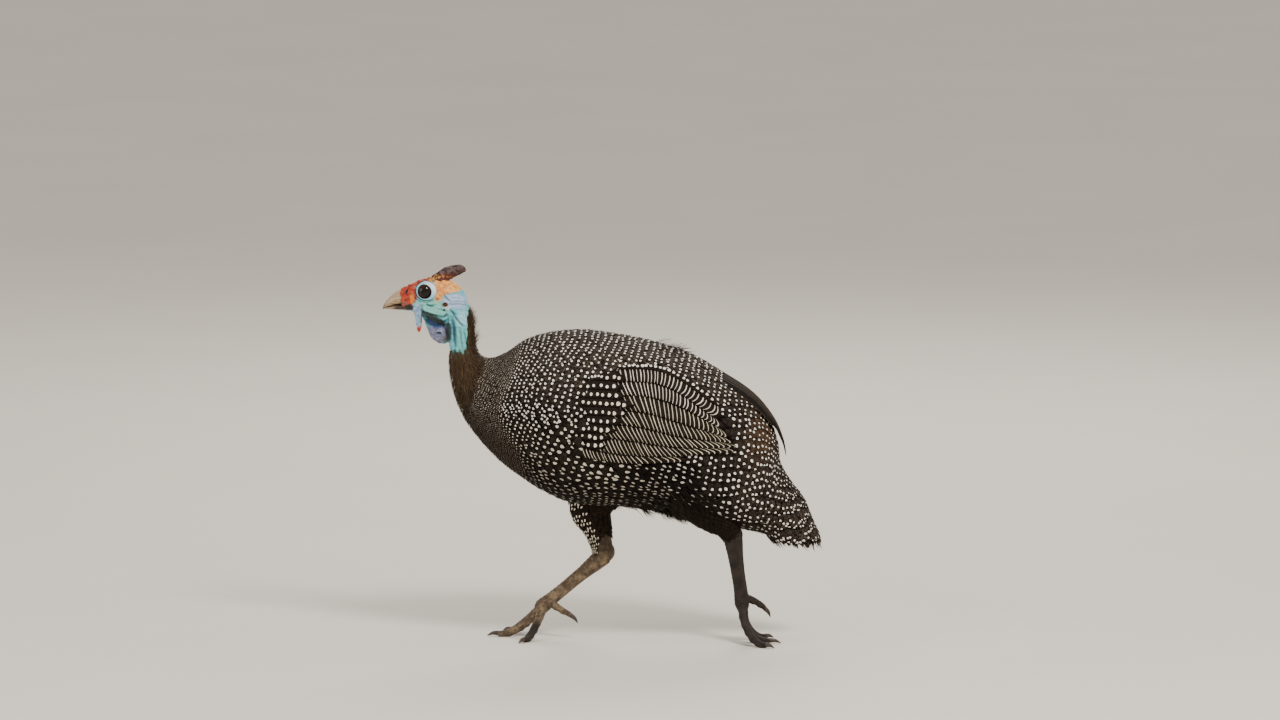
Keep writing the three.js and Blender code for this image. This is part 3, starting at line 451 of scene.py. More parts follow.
class Shader:
    """A procedural material: each method adds nodes and gives back the socket to go on from."""

    def __init__(self, name, specular):
        self.material = bpy.data.materials.new(name)
        self.material.use_nodes = True
        self.bsdf = self.material.node_tree.nodes["Principled BSDF"]
        self.bsdf.inputs["Specular IOR Level"].default_value = specular
        self.bumped = None
        self.parts = None

    def put(self, socket, value):
        if isinstance(value, bpy.types.NodeSocket):
            self.material.node_tree.links.new(value, socket)
        elif socket.type == "RGBA":
            socket.default_value = (*value[:3], 1)
        else:
            socket.default_value = value

    def node(self, kind, inputs=None, **settings):
        node = self.material.node_tree.nodes.new("ShaderNode" + kind)
        for name, value in settings.items():
            setattr(node, name, value)
        for socket, value in (inputs or {}).items():
            self.put(node.inputs[socket], value)
        return node.outputs

    def place(self, scale=(1, 1, 1)):
        """Object coordinates in millimetres, with the bird's own x, and stretched."""
        inputs = {
            "Vector": self.node("TexCoord")["Object"],
            "Location": [-SHIFT * scale[0], 0, 0],
            "Scale": [s / MM for s in scale],
        }
        return self.node("Mapping", inputs)[0]

    def lie(self, scale=(1, 1, 1)):
        """Coordinates along the feather: x across, y from the root to the tip."""
        uv = self.node("UVMap", uv_map="Lie")["UV"]
        return self.node("Mapping", {"Vector": uv, "Scale": scale})[0]

    def shade(self, channel):
        """A number kept on the mesh: Red is greyness, Green is warmth, Blue is chance. Red also carries
        painted light and shade on the plumage, and the painted shade in the creases on the head's skin.
        """
        color = self.node("Attribute", attribute_name="shade")["Color"]
        return self.node("SeparateColor", {"Color": color})[channel]

    def noise(self, vector, scale, detail=3.0, distortion=0.0):
        inputs = {"Vector": vector, "Scale": scale, "Detail": detail, "Distortion": distortion}
        return self.node("TexNoise", inputs)["Fac"]

    def cells(self, vector, scale, feature="F1"):
        return self.node("TexVoronoi", {"Vector": vector, "Scale": scale}, feature=feature)["Distance"]

    def math(self, operation, *values):
        return self.node("Math", dict(enumerate(values)), operation=operation)[0]

    def times(self, a, b):
        return self.math("MULTIPLY", a, b)

    def span(self, value, low, high, to_low=0.0, to_high=1.0):
        inputs = dict(enumerate((value, low, high, to_low, to_high)))
        return self.node("MapRange", inputs, interpolation_type="SMOOTHSTEP")[0]

    def mix(self, factor, a, b):
        return self.node("Mix", {0: factor, 6: a, 7: b}, data_type="RGBA")[2]

    def mottled(self, a, b, scale, low, high, detail=3.0, twist=0.0):
        """One colour in patches on another."""
        return self.mix(self.span(self.noise(self.place(), scale, detail, twist), low, high), a, b)

    def blob(self, centre, radii, edge=0.25, rough=0.0, turn=0.0, most=1.0):
        """A soft or ragged ellipsoid in the bird's own place, most inside and 0 outside."""
        inputs = {
            "Vector": self.node("TexCoord")["Object"],
            "Location": [(centre[0] + SHIFT) * MM, centre[1] * MM, centre[2] * MM],
            "Rotation": [0, turn, 0],
            "Scale": [r * MM for r in radii],
        }
        reach = self.node("Mapping", inputs, vector_type="TEXTURE")[0]
        distance = self.node("VectorMath", {0: reach}, operation="LENGTH")["Value"]
        if rough:
            grain = self.noise(self.place(), 0.35, 4.0)
            distance = self.math("MULTIPLY_ADD", self.math("SUBTRACT", grain, 0.5), rough * 2, distance)
        return self.span(distance, 1 - edge, 1 + edge, most, 0.0)

    def dab(self, color, tint, x, z, wide, tall, *looks):
        """A colour laid over another in an oval that goes right through the head."""
        return self.mix(self.blob((x, 0, z), (wide, THROUGH, tall), *looks), color, tint)

    def beyond(self, x_share, z_share, edge, soft=0.8, rough=1.0):
        """1 where x and z, each times its share, add up to more than an edge, with a rough border."""
        if self.parts is None:
            x, _, z = self.node("SeparateXYZ", {0: self.place()})
            self.parts = x, z, self.math("SUBTRACT", self.noise(self.place(), 0.3, 4.0), 0.5)
        x, z, wobble = self.parts
        total = self.math("MULTIPLY_ADD", x, x_share, self.times(wobble, rough * 6))
        total = self.math("MULTIPLY_ADD", z, z_share, total)
        return self.span(total, edge - soft, edge + soft)

    def bump(self, height, depth, strength=0.5):
        inputs = {"Strength": strength, "Distance": depth * MM, "Height": height}
        if self.bumped is not None:
            inputs["Normal"] = self.bumped
        self.bumped = self.node("Bump", inputs)["Normal"]

    def done(self, color, roughness):
        self.put(self.bsdf.inputs["Base Color"], color)
        self.put(self.bsdf.inputs["Roughness"], roughness)
        if self.bumped is not None:
            self.put(self.bsdf.inputs["Normal"], self.bumped)
        return self.material


BLACK_BROWN = (0.0035, 0.0024, 0.0018)
GREY_BROWN = (0.13, 0.10, 0.077)
WARM_BROWN = (0.12, 0.062, 0.028)
WHITE = (0.84, 0.80, 0.72)


def barbs(s):
    """The distance from the shaft, and fine lines from it to both edges, sloping to the tip."""
    across, along, _ = s.node("SeparateXYZ", {0: s.lie()})
    off = s.math("ABSOLUTE", s.math("SUBTRACT", across, 0.5))
    slope = s.math("MULTIPLY_ADD", off, -1.1, along)
    return off, s.math("SINE", s.times(slope, 260.0))


def plumage():
    s = Shader("plumage", 0.06)
    off, comb = barbs(s)
    blotch = s.noise(s.place(), 0.5, 4.0, 0.8)
    fine = s.noise(s.place(), 1.6, 3.0, 0.6)
    speckle = s.span(s.math("MULTIPLY_ADD", fine, 0.45, s.times(blotch, 0.55)), 0.42, 0.6)
    base = s.mix(s.times(speckle, s.shade("Red")), BLACK_BROWN, GREY_BROWN)
    base = s.mix(s.times(s.shade("Green"), s.span(fine, 0.3, 0.6, 0.35, 0.9)), base, WARM_BROWN)
    base = s.mix(s.span(off, 0.0, 0.03, 0.4, 0.0), base, (0.015, 0.011, 0.008))
    base = s.mix(s.span(s.shade("Blue"), 0.0, 1.0, 0.0, 0.25), base, (0.012, 0.009, 0.007))
    s.bump(comb, 0.04)
    return s.done(base, s.span(speckle, 0.0, 1.0, 0.65, 0.8))


def ring_dark():
    s = Shader("plumage_dark", 0.05)
    tone = s.noise(s.place(), 0.9)
    s.bump(s.noise(s.place(), 3.5, 2.0), 0.05)
    color = s.mix(tone, (0.003, 0.0022, 0.0018), (0.011, 0.0075, 0.0055))
    return s.done(color, s.span(tone, 0.0, 1.0, 0.5, 0.7))


def spot_white():
    s = Shader("plumage_white", 0.25)
    tone = s.noise(s.place(), 1.3)
    warm = s.mix(s.shade("Green"), WHITE, (0.62, 0.54, 0.36))
    color = s.mix(s.span(tone, 0.3, 0.75, 0.0, 0.25), warm, (0.55, 0.5, 0.42))
    # Red greys a spot: painted shade under the wing and underneath the trunk, and duller spots elsewhere
    color = s.mix(s.shade("Red"), color, (0.16, 0.14, 0.12))
    s.bump(s.noise(s.place(), 4.0, 2.0), 0.06)
    return s.done(color, s.span(tone, 0.0, 1.0, 0.62, 0.8))


def down():
    s = Shader("down", 0.08)
    speck = s.span(s.noise(s.place(), 0.9, 4.0, 0.3), 0.45, 0.68)
    along = s.noise(s.lie((6, 1.2, 1)), 4.0, 2.0)
    grey = s.times(s.math("MULTIPLY_ADD", speck, 0.7, 0.3), s.shade("Red"))
    base = s.mix(grey, (0.006, 0.0042, 0.003), (0.14, 0.105, 0.073))
    warm = s.times(s.shade("Green"), s.span(along, 0.2, 0.8, 0.3, 0.9))
    s.bump(along, 0.08, 0.6)
    return s.done(s.mix(warm, base, (0.19, 0.115, 0.058)), s.span(speck, 0.0, 1.0, 0.65, 0.82))


def flight():
    s = Shader("flight_feather", 0.08)
    off, comb = barbs(s)
    streak = s.noise(s.lie((1.5, 14, 1)), 5.0)
    base = s.mix(streak, (0.003, 0.002, 0.0015), (0.011, 0.0072, 0.005))
    base = s.mix(s.span(off, 0.0, 0.05, 0.6, 0.0), base, (0.022, 0.015, 0.01))
    base = s.mix(s.span(off, 0.40, 0.48, 0.0, 0.9), base, (0.16, 0.115, 0.08))
    s.bump(comb, 0.05, 0.7)
    s.bump(s.span(off, 0.0, 0.05, 1.0, 0.0), 0.3, 0.8)
    return s.done(base, s.span(streak, 0.0, 1.0, 0.55, 0.75))


PLUMAGE = plumage()
RING_DARK = ring_dark()
SPOT_WHITE = spot_white()
DOWN = down()
FLIGHT = flight()


class Coat:
    """Many small closed forms in one mesh, each with its own patch on the baking map."""

    PATCH = 0.003

    def __init__(self, name, material):
        self.name = name
        self.material = material
        self.points, self.tris, self.patch, self.lie, self.shade = [], [], [], [], []
        self.count = 0

    def add(self, points, tris, root, lie, shade):
        """N forms of K points: root (N, 2) on the map, lie (K, 2) from 0 to 1, shade (N, 3)."""
        n, k = points.shape[:2]
        start = self.count + k * np.arange(n)
        self.points.append(points.reshape(-1, 3))
        self.tris.append((tris[None] + start[:, None, None]).reshape(-1, 3))
        lie = np.broadcast_to(lie, (n, k, 2))
        self.lie.append(lie.reshape(-1, 2))
        self.patch.append((root[:, None] + (lie - 0.5) * self.PATCH).reshape(-1, 2))
        self.shade.append(np.repeat(shade[:, None], k, 1).reshape(-1, 3))
        self.count += n * k

    def build(self, slot, *nodes):
        points, tris = np.vstack(self.points), np.vstack(self.tris)
        obj = make(self.name, points, tris, self.material)
        mesh = obj.data
        index = np.zeros(len(mesh.loops), np.int32)
        mesh.loops.foreach_get("vertex_index", index)
        for name, values in (("OFBake", self.patch), ("Lie", self.lie)):
            layer = mesh.uv_layers.new(name=name)
            layer.data.foreach_set("uv", np.vstack(values)[index].astype(np.float32).ravel())
        shade = mesh.attributes.new("shade", "FLOAT_COLOR", "POINT")
        rgba = np.insert(np.vstack(self.shade), 3, 1.0, axis=1)
        shade.data.foreach_set("color", rgba.astype(np.float32).ravel())
        return finished(obj, slot, *nodes)


def build(coats, *nodes):
    """Coats of plumage, of which the first stands for the nodes."""
    for coat in coats:
        coat.build("plumage", *nodes)
        nodes = ()


def scale_at(surface, place, angle, step=0.02):
    """How many millimetres of a surface one unit of place, and one of angle, go."""
    at = surface(place, angle)
    along = np.linalg.norm(surface(place + step, angle) - at, axis=-1) / step
    around = np.linalg.norm(surface(place, angle + step) - at, axis=-1) / step
    return along, around


def chart(place, angle, first=FIRST_PLACE, length=len(TRUNK), edge=0.012):
    """The place on the baking map of a point of the trunk."""
    share = [(place + first) / length, angle / (2 * np.pi) % 1]
    return edge + (1 - 2 * edge) * np.stack(share, -1)


def leg_chart(place, angle):
    return chart(place, angle, 0, 6, 0.02)


class Feathers:
    """Feathers on a surface: each has its root's place and angle, its size, its turn and its rise."""

    def __init__(self, place, angle, **looks):
        n = len(place)
        self.place, self.angle = place, angle
        self.surface, self.hand, self.way = trunk, 1, -1
        self.length, self.width, self.turn, self.roll = 1.0, 12.0, 0.0, 0.0
        self.low, self.high, self.power = 0.0, 0.0, 0.8
        self.round_tip, self.camber = 0.16, 0.05
        self.shape = ([0, 0.25, 0.6, 0.84, 0.94, 1], [0.45, 0.85, 1, 0.9, 0.68, 0.35])
        self.swell, self.chart = None, chart
        self.shade = np.zeros((n, 3))
        self.__dict__.update(looks)
        for key in ("place", "angle", "length", "width", "turn", "roll", "low", "high"):
            self.__dict__[key] = np.broadcast_to(self.__dict__[key], n).astype(float)
        along, self.per_angle = scale_at(self.surface, self.place, self.angle)
        tip = self.place + self.way * self.length / np.maximum(along, 4)
        self.per_place = (along + scale_at(self.surface, tip, self.angle)[0]) / 2

    def pick(self, keep):
        other = object.__new__(type(self))
        for key, value in self.__dict__.items():
            each = isinstance(value, np.ndarray) and len(value) == len(self.place)
            other.__dict__[key] = value[keep] if each else value
        return other

    def half(self, t):
        return self.width[:, None] / 2 * np.interp(np.atleast_2d(t), *self.shape)

    def along(self, t, q):
        return t - self.round_tip * q * q * t**3

    def where(self, t, q):
        along = self.length[:, None] * self.along(t, q)
        across = q * self.half(t)
        c, s = np.cos(self.turn)[:, None], np.sin(self.turn)[:, None]
        place = self.place[:, None] + self.way * (along * c - across * s) / self.per_place[:, None]
        angle = self.angle[:, None] + (along * s + across * c) / self.per_angle[:, None]
        return place, angle

    def points(self, t, q, lift=0.0):
        """Points of every feather at t from root to tip and q from -1 to 1 across, lifted off the vane."""
        t, q = np.broadcast_arrays(np.atleast_2d(t), np.atleast_2d(q))
        place, angle = self.where(t, q)
        height = self.low[:, None] + (self.high - self.low)[:, None] * np.clip(t, 0, 1.2) ** self.power
        height = height - self.camber * self.width[:, None] * q * q + lift
        height = height + self.roll[:, None] * q * self.half(t)
        if self.swell is not None:
            height = height + self.swell(self.surface(place, angle))
        return raised(self.surface, place, angle, height, self.hand)


class Strips(Feathers):
    """Long feathers that run from one place and angle to another."""

    def __init__(self, place, angle, end_place, end_angle, **looks):
        self.end_place, self.end_angle = end_place, end_angle
        super().__init__(place, angle, **looks)
        start, end = self.surface(self.place, self.angle), self.surface(end_place, end_angle)
        self.length = np.linalg.norm(end - start, axis=-1)

    def where(self, t, q):
        along = self.along(t, q)
        place = self.place[:, None] + (self.end_place - self.place)[:, None] * along
        angle = self.angle[:, None] + (self.end_angle - self.angle)[:, None] * along
        return place, angle + q * self.half(t) / scale_at(self.surface, place, angle)[1]


def on_side(x, z, side):
    """The place and angle where the trunk's side shows x and z."""
    place = np.full(np.shape(x), 8.0)
    angle = np.full(np.shape(x), -side * np.pi / 2)
    step = 1e-3
    for _ in range(26):
        at = trunk(place, angle)
        u = (trunk(place + step, angle) - at) / step
        v = (trunk(place, angle + step) - at) / step
        size = u[..., 0] * v[..., 2] - u[..., 2] * v[..., 0]
        size = np.where(np.abs(size) < 1e-3, 1e-3, size)
        dx = np.clip(x - at[..., 0], -12, 12)
        dz = np.clip(z - at[..., 2], -12, 12)
        place = np.clip(place + (dx * v[..., 2] - dz * v[..., 0]) / size, -FIRST_PLACE, LAST_PLACE)
        angle = angle + (dz * u[..., 0] - dx * u[..., 2]) / size
    return place, angle


class WingFeathers(Feathers):
    """Feathers that each run along their lower edge, four points x, z from root to tip, and reach up
    under the feather above, whose lower edge is given too."""

    UNDER = 1.35

    def __init__(self, side, edge, above, **looks):
        self.side, self.edge, self.above = side, edge, above
        place, angle = on_side(edge[:, 0, 0], edge[:, 0, 1], side)
        shade = shades(0.12, 0.04, len(edge))
        super().__init__(place, angle, roll=-0.05, camber=0.01, shade=shade, **looks)
        self.length = np.linalg.norm(np.diff(edge, axis=1), axis=-1).sum(1)

    def line(self, rows, share):
        which = np.arange(len(rows))[:, None]
        return between(rows, np.clip(share, 0, 1.05) * 3, lambda i: rows[which, i], 3)

    def half(self, t):
        """Half the width, from the height of the line above over the lower edge."""
        t = np.broadcast_to(t, (len(self.edge), np.shape(t)[-1]))
        at = self.line(self.edge, t)
        share = np.broadcast_to(np.linspace(0, 1, 40), (len(self.edge), 40))
        over = self.line(self.above, share)
        z = np.array([np.interp(a[:, 0], o[:, 0], o[:, 1]) for a, o in zip(at, over)])
        return np.clip(z - at[..., 1], 4, 15) * self.UNDER / 2 * np.interp(t, *self.shape)

    def where(self, t, q):
        along = self.along(t, q)
        step = 0.01
        way = unit(self.line(self.edge, along + step) - self.line(self.edge, along - step))
        across = np.stack([-way[..., 1], way[..., 0]], -1)
        at = self.line(self.edge, along) + across * ((q + 1) * self.half(t))[..., None]
        return on_side(at[..., 0], at[..., 1], self.side)


def shades(grey, warm, n):
    """How grey and how warm every feather is, with a chance number."""
    return np.stack([np.broadcast_to(grey, n), np.broadcast_to(warm, n), rng.random(n)], 1)


def vane_form(rows, columns):
    """A thin closed form over a grid: t, q, which points are on the underside, and triangles."""
    t, q = np.meshgrid(np.linspace(0, 1, rows + 1) ** 0.85, np.linspace(-1, 1, columns + 1), indexing="ij")
    t, q = t.ravel(), q.ravel()
    inner = (t > 0) & (t < 1) & (np.abs(q) < 1)
    low = np.arange(len(t))
    low[inner] = len(t) + np.arange(inner.sum())
    under = np.repeat([0.0, 1.0], [len(t), inner.sum()])
    top = np.roll(quads(rows, columns, columns + 1), rows * columns, axis=0)[:, [0, 2, 1]]
    return np.append(t, t[inner]), np.append(q, q[inner]), under, np.vstack([top, low[top][:, ::-1]])


def facing(points, tris, feathers):
    """The triangles turned so that they face away from the surface below."""
    low, high = (feathers.points(0.5, 0.0, lift)[0, 0] for lift in (0.0, 1.0))
    a, b, c = points[0, tris[0]]
    return tris if np.dot(np.cross(b - a, c - a), high - low) > 0 else tris[:, ::-1]


def vanes(coat, feathers, rows, columns, thick, fray):
    t, q, under, tris = vane_form(rows, columns)
    n = len(feathers.place)
    ragged = np.where(t > 0.99, rng.normal(0, fray, (n, len(t))), 0) / feathers.length[:, None]
    edge = np.where(np.abs(q) > 0.99, rng.normal(0, 0.03, (n, len(t))), 0)
    points = feathers.points(t + ragged, q + edge, -thick * under)
    roots = feathers.chart(feathers.place, feathers.angle)
    lie = np.stack([q / 2 + 0.5, t], -1)
    coat.add(points, facing(points, tris, feathers), roots, lie, feathers.shade)


def add_marks(coat, feathers, points, tris, lie, t, q, warm, dim):
    """One mark on every feather, charted where its middle t and q lie."""
    place, angle = feathers.where(t[:, None], q[:, None])
    shade = feathers.shade.copy()
    shade[:, 0] = dim
    shade[:, 1] = warm
    coat.add(points, facing(points, tris, feathers), chart(place[:, 0], angle[:, 0]), lie, shade)


def on_vane(feathers, t, q, fore, out):
    """The steps in t and q that go fore millimetres along the vane and out millimetres across it."""
    step = 0.01
    at = feathers.points(t[:, None], q[:, None])[:, 0]
    along = (feathers.points(t[:, None] + step, q[:, None])[:, 0] - at) / step
    across = (feathers.points(t[:, None], q[:, None] + step)[:, 0] - at) / step
    ahead = unit(along)
    aside = across - ahead * (across * ahead).sum(-1, keepdims=True)
    step_q = out / np.linalg.norm(aside, axis=-1)[:, None]
    skew = (across * ahead).sum(-1)[:, None]
    return (fore - step_q * skew) / np.linalg.norm(along, axis=-1)[:, None], step_q


def discs(coat, feathers, t, q, radius, stretch, lift, corners=9, slant=0.0, warm=0.0, dim=0.0):
    """One round or oval mark on every feather, radius across and radius x stretch along."""
    n = len(feathers.place)
    t, q, radius, stretch = (np.broadcast_to(part, n).astype(float) for part in (t, q, radius, stretch))
    around = np.arange(corners) * 2 * np.pi / corners
    uneven = 1 + rng.normal(0, 0.05, (n, corners))
    out = radius[:, None] * uneven * np.sin(around)
    fore = radius[:, None] * stretch[:, None] * uneven * np.cos(around)
    step_t, step_q = on_vane(feathers, t, q, fore + slant * out, out)
    all_t = np.hstack([t[:, None] + step_t, t[:, None]])
    all_q = np.hstack([q[:, None] + step_q, q[:, None]])
    high = lift * np.append(np.full(corners, 0.6), 1)
    ring = np.arange(corners)
    tris = np.stack([np.full(corners, corners), ring, (ring + 1) % corners], 1)
    lie = np.stack([np.append(np.sin(around), 0), np.append(np.cos(around), 0)], -1) * 0.35 + 0.5
    add_marks(coat, feathers, feathers.points(all_t, all_q, high), tris, lie, t, q, warm, dim)


def bars(coat, feathers, t, width, sweep, warm, lift=0.14, count=7):
    """A curved bar across every feather, swept along it."""
    n = len(feathers.place)
    s = np.linspace(0, 1, count)
    body = np.sin(np.pi * (0.1 + 0.8 * s)) ** 0.6
    bend = rng.normal(0, 0.35, (n, 1)) * np.sin(np.pi * s)
    middle = t[:, None] + (sweep * s**1.4 + bend) / feathers.length[:, None]
    wide = width / 2 * body[None] / feathers.length[:, None] * (1 + rng.normal(0, 0.1, (n, count)))
    all_t = np.hstack([middle - wide, middle, middle + wide])
    all_q = np.tile(BAR_FROM + (BAR_TO - BAR_FROM) * s, 3)[None].repeat(n, 0)
    points = feathers.points(all_t, all_q, np.repeat([lift * 0.3, lift, lift * 0.3], count))
    lie = np.stack([np.tile(s, 3), np.repeat([0.0, 0.5, 1.0], count)], -1)
    q = np.full(n, (BAR_FROM + BAR_TO) / 2)
    dim = rng.uniform(0.05, 0.3, n)
    add_marks(coat, feathers, points, quads(2, count - 1, count), lie, t, q, warm, dim)


def rows_of_roots(surface, places, angles, row_step, column_step, base):
    """Staggered rows of roots, row by row at an even distance whatever the surface does."""
    grid_place, grid_angle = np.meshgrid(places, angles, indexing="ij")
    grid = surface(grid_place, grid_angle)
    step = row_step(grid_place, grid_angle, grid)
    pieces = np.linalg.norm(np.diff(grid, axis=0), axis=-1) / ((step[1:] + step[:-1]) / 2)
    level = np.vstack([np.zeros((1, len(angles))), np.cumsum(pieces, axis=0)])
    level = level - level[np.argmin(np.abs(places - base))]
    found = []
    for k in range(int(np.ceil(level.min())), int(np.floor(level.max())) + 1):
        line = np.array([np.interp(k, level[:, j], places, np.nan, np.nan) for j in range(len(angles))])
        at = surface(line, angles)
        column = column_step(line, angles, at)
        gaps = np.nan_to_num(np.linalg.norm(np.diff(at, axis=0), axis=-1) / ((column[1:] + column[:-1]) / 2))
        arc = np.append(0, np.cumsum(gaps))
        count = int(round(arc[-1]))
        if count < 1:
            continue
        spots = (np.arange(count) + 0.5 * (k % 2) + 0.25) * arc[-1] / count
        spots = spots + rng.normal(0, 0.05, count)
        slope = np.gradient(line, angles)
        found.append(np.stack([np.interp(spots, arc, part) for part in (line, angles, slope)], 1))
    found = np.vstack(found)
    return found[np.isfinite(found).all(1)]


FULL_TURN = np.linspace(0, 2 * np.pi, 181)

# The folded wing and the thigh stand out from the trunk under the small feathers
WING_LINE = ([-40, 0, 20, 45, 68, 95, 117, 138], [266, 268, 280, 282, 277, 260, 245, 212])
WING_FOOT = ([-40, 0, 30, 66, 100, 138], [204, 195, 195, 199, 203, 205])


def wing_reach(at):
    """0 in the middle of the folded wing and 1 at its edge, from the x and z of a point."""
    x, z = at[..., 0] - 40, at[..., 2] - 243
    tilt = math.radians(-13)
    along, across = x * math.cos(tilt) + z * math.sin(tilt), z * math.cos(tilt) - x * math.sin(tilt)
    return np.hypot(along / 108, across / 52)


def swell(at):
    x, z = at[..., 0], at[..., 2]
    side = smoothstep(20, 45, np.abs(at[..., 1]))
    front = smoothstep(4, -20, x)
    top = smoothstep(-3, 5, z - np.interp(x, *WING_LINE)) * smoothstep(128, 90, x)
    wing = 4.2 * smoothstep(1.18, 0.85, wing_reach(at)) * np.maximum(front, top)
    thigh = smoothstep(84, 91, x - 0.12 * (z - 150)) * smoothstep(150, 118, x)
    thigh = 3.4 * thigh * smoothstep(204, 176, z) * smoothstep(116, 132, z)
    return (wing + thigh) * side


def among_long_feathers(at):
    """Where the wing's long feathers lie open to view, so that small ones are left out."""
    x, z = at[..., 0], at[..., 2]
    side = np.abs(at[..., 1]) > 20
    within = (z < np.interp(x, *WING_LINE)) & (z > np.interp(x, *WING_FOOT))
    return side & within & (x > -14 + 7 * np.sin(z * 0.37)) & (x < 136)


def fine_share(place, angle):
    """1 on the lower neck, where the feathers are finest, and 0 on the trunk."""
    up = (np.cos(angle) + 1) / 2
    border = 14.9 - 0.7 * smoothstep(0.5, 1, up) - 1.2 * smoothstep(0.5, 0.1, up)
    return smoothstep(border - 0.35, border + 0.35, place)


def flank_share(at):
    x, z = at[..., 0], at[..., 2]
    along = smoothstep(-92, -62, x) * smoothstep(30, -10, x)
    return along * smoothstep(244, 222, z) * smoothstep(150, 172, z)


def shadow_share(at):
    """The dark flank under the wing, in front of the thigh."""
    x, z = at[..., 0], at[..., 2]
    return smoothstep(-6, 16, x) * smoothstep(91, 83, x) * smoothstep(203, 194, z)


def top_share(angle):
    return smoothstep(0.7, 1.0, (np.cos(angle) + 1) / 2)


def finer(place, angle):
    return (1 - 0.5 * fine_share(place, angle)) * (1 - 0.22 * smoothstep(12, 14.5, place))


def row_step(place, angle, at):
    """The distance from one row of the trunk's feathers to the next."""
    top, rear = top_share(angle), smoothstep(9, 6, place)
    step = 6.9 - 0.7 * top + 2.2 * flank_share(at) + 0.4 * shadow_share(at) + (0.9 - 0.4 * top) * rear
    return (step - 1.3 * smoothstep(4.5, 1.5, place)) * finer(place, angle)


def column_step(place, angle, at):
    """The distance from one feather to the next in a row."""
    top, rear = top_share(angle), smoothstep(9, 6, place)
    step = 11.0 - 1.2 * top + 3.6 * flank_share(at) + (3.6 - 2.0 * top) * rear
    return (step + 1.5 * smoothstep(4.5, 1.5, place)) * finer(place, angle)


def ahead_of_tip(rule):
    return lambda place, angle, at: rule(place + AHEAD, angle, trunk(place + AHEAD, angle))


def body_tips():
    """The trunk's feathers by their tips: place, angle, slope of the row, length and root."""
    steps = ahead_of_tip(row_step), ahead_of_tip(column_step)
    tip, angle, slope = rows_of_roots(trunk, np.linspace(TAIL_END, 15.9, 280), FULL_TURN, *steps, 8).T
    length = steps[0](tip, angle, None) * 2.9
    at_tip = scale_at(trunk, tip, angle)[0]
    root = tip + 2 * length / (at_tip + scale_at(trunk, tip + length / at_tip, angle)[0])
    closed = ~among_long_feathers(trunk(tip + 0.1 * (root - tip), angle))
    return [part[closed] for part in (tip, angle, slope, length, root)]


def body_coat():
    tip, angle, slope, length, root = body_tips()
    place = tip + AHEAD
    at = trunk(place, angle)
    n = len(place)
    x, z = at[:, 0], at[:, 2]
    up = (np.cos(angle) + 1) / 2
    top, low = top_share(angle), smoothstep(0.3, 0.06, up)
    fine, flank, shadow = fine_share(place, angle), flank_share(at), shadow_share(at)
    thigh = smoothstep(92, 104, x) * smoothstep(165, 140, x) * smoothstep(205, 185, z)
    length = length * rng.normal(1, 0.04, n)
    width = column_step(place, angle, at) * 1.25 * rng.normal(1, 0.04, n)
    coat = Feathers(root, angle, length=length, width=width, turn=rng.normal(0, 0.03, n), swell=swell)
    coat.per_angle = scale_at(trunk, tip, angle)[1]
    coat.camber = 0.015
    coat.low = -1.8 + 0.7 * smoothstep(6, 3, place)
    coat.high = 0.2 + 0.35 * rng.random(n)
    # Painted light and shade in the ground: lighter on the back, painted light; darker under the wing and
    # underneath, painted shade; greyer towards the rump and on the lower neck
    grey = 0.24 + 0.46 * smoothstep(236, 282, z) + 0.32 * smoothstep(110, 150, x)
    grey = np.clip(grey * (1 - 0.9 * shadow) * (1 - 0.75 * low) + 0.25 * fine, 0.03, 1)
    coat.shade = shades(grey, 0.15 * fine + 0.8 * hump(x, 152, 17) * hump(z, 226, 26), n)
    rear_coat, front_coat = Coat("coat_body", PLUMAGE), Coat("coat_breast", PLUMAGE)
    for one, part in ((rear_coat, place < REAR_END), (front_coat, place >= REAR_END)):
        vanes(one, coat.pick(part), rows=5, columns=4, thick=0.22, fray=0.5)

    ring_coat, spot_coat = Coat("coat_rings", RING_DARK), Coat("coat_spots", SPOT_WHITE)
    breast = smoothstep(8.5, 12.5, place) * smoothstep(0.5, 0.2, up)
    radius = 1.25 - 0.2 * top + 0.5 * flank + 0.1 * thigh + (0.12 - 0.2 * top) * smoothstep(9, 6, place)
    radius = radius - 0.32 * smoothstep(5.5, 1.5, place)
    radius = radius * (1 - 0.55 * fine) * (1 - 0.3 * low) * (1 - 0.28 * shadow)
    radius = radius * (1 - 0.22 * breast) * (1 - 0.25 * smoothstep(12, 14.5, place))
    stretch = 1.1 + 0.9 * low + 0.35 * breast + 1.0 * shadow + 0.1 * flank
    # Spots dimmed by painted shade under the wing and underneath, and duller on the lower neck and lower
    # breast, with a chance spread
    dim = 0.42 * shadow + 0.55 * low + 0.5 * fine + 0.25 * breast
    dim = np.clip(dim + rng.normal(0.05, 0.12, n), 0, 0.92)
    belly = smoothstep(150, 132, z) * smoothstep(-40, 10, x) * smoothstep(120, 95, x)
    marked = 1 - 0.2 * shadow - 0.75 * belly
    yellow = 0.5 * smoothstep(265, 210, z) * smoothstep(70, 0, x)
    # Two spots side by side near each tip, and now and then a small one between them
    small = 0.14 * (place > 8)
    for q, t, share, size in ((-0.4, 0.85, 1.0, 1.0), (0.4, 0.85, 1.0, 1.0), (0.0, 0.73, small, 0.6)):
        chosen = rng.random(n) < share * marked
        some = coat.pick(chosen)
        m = len(some.place)
        spread = q + np.clip(rng.normal(0, 0.07, m), -0.13, 0.13)
        row = slope[chosen] * spread * width[chosen] / 2 / some.per_angle
        row = np.clip(-row * some.per_place / some.length, -0.1, 0.06)
        along = t + np.clip(rng.normal(0, 0.02, m), -0.05, 0.03) + row
        r = size * radius[chosen] * rng.normal(1, 0.11, m)
        long = stretch[chosen] * rng.normal(1, 0.08, m)
        discs(ring_coat, some, along, spread, r * 1.65, 1 + (long - 1) * 0.7, lift=0.15)
        looks = {"lift": 0.3, "corners": 10, "warm": yellow[chosen], "dim": dim[chosen]}
        discs(spot_coat, some, along, spread, r, long, **looks)
    return rear_coat, front_coat, ring_coat, spot_coat


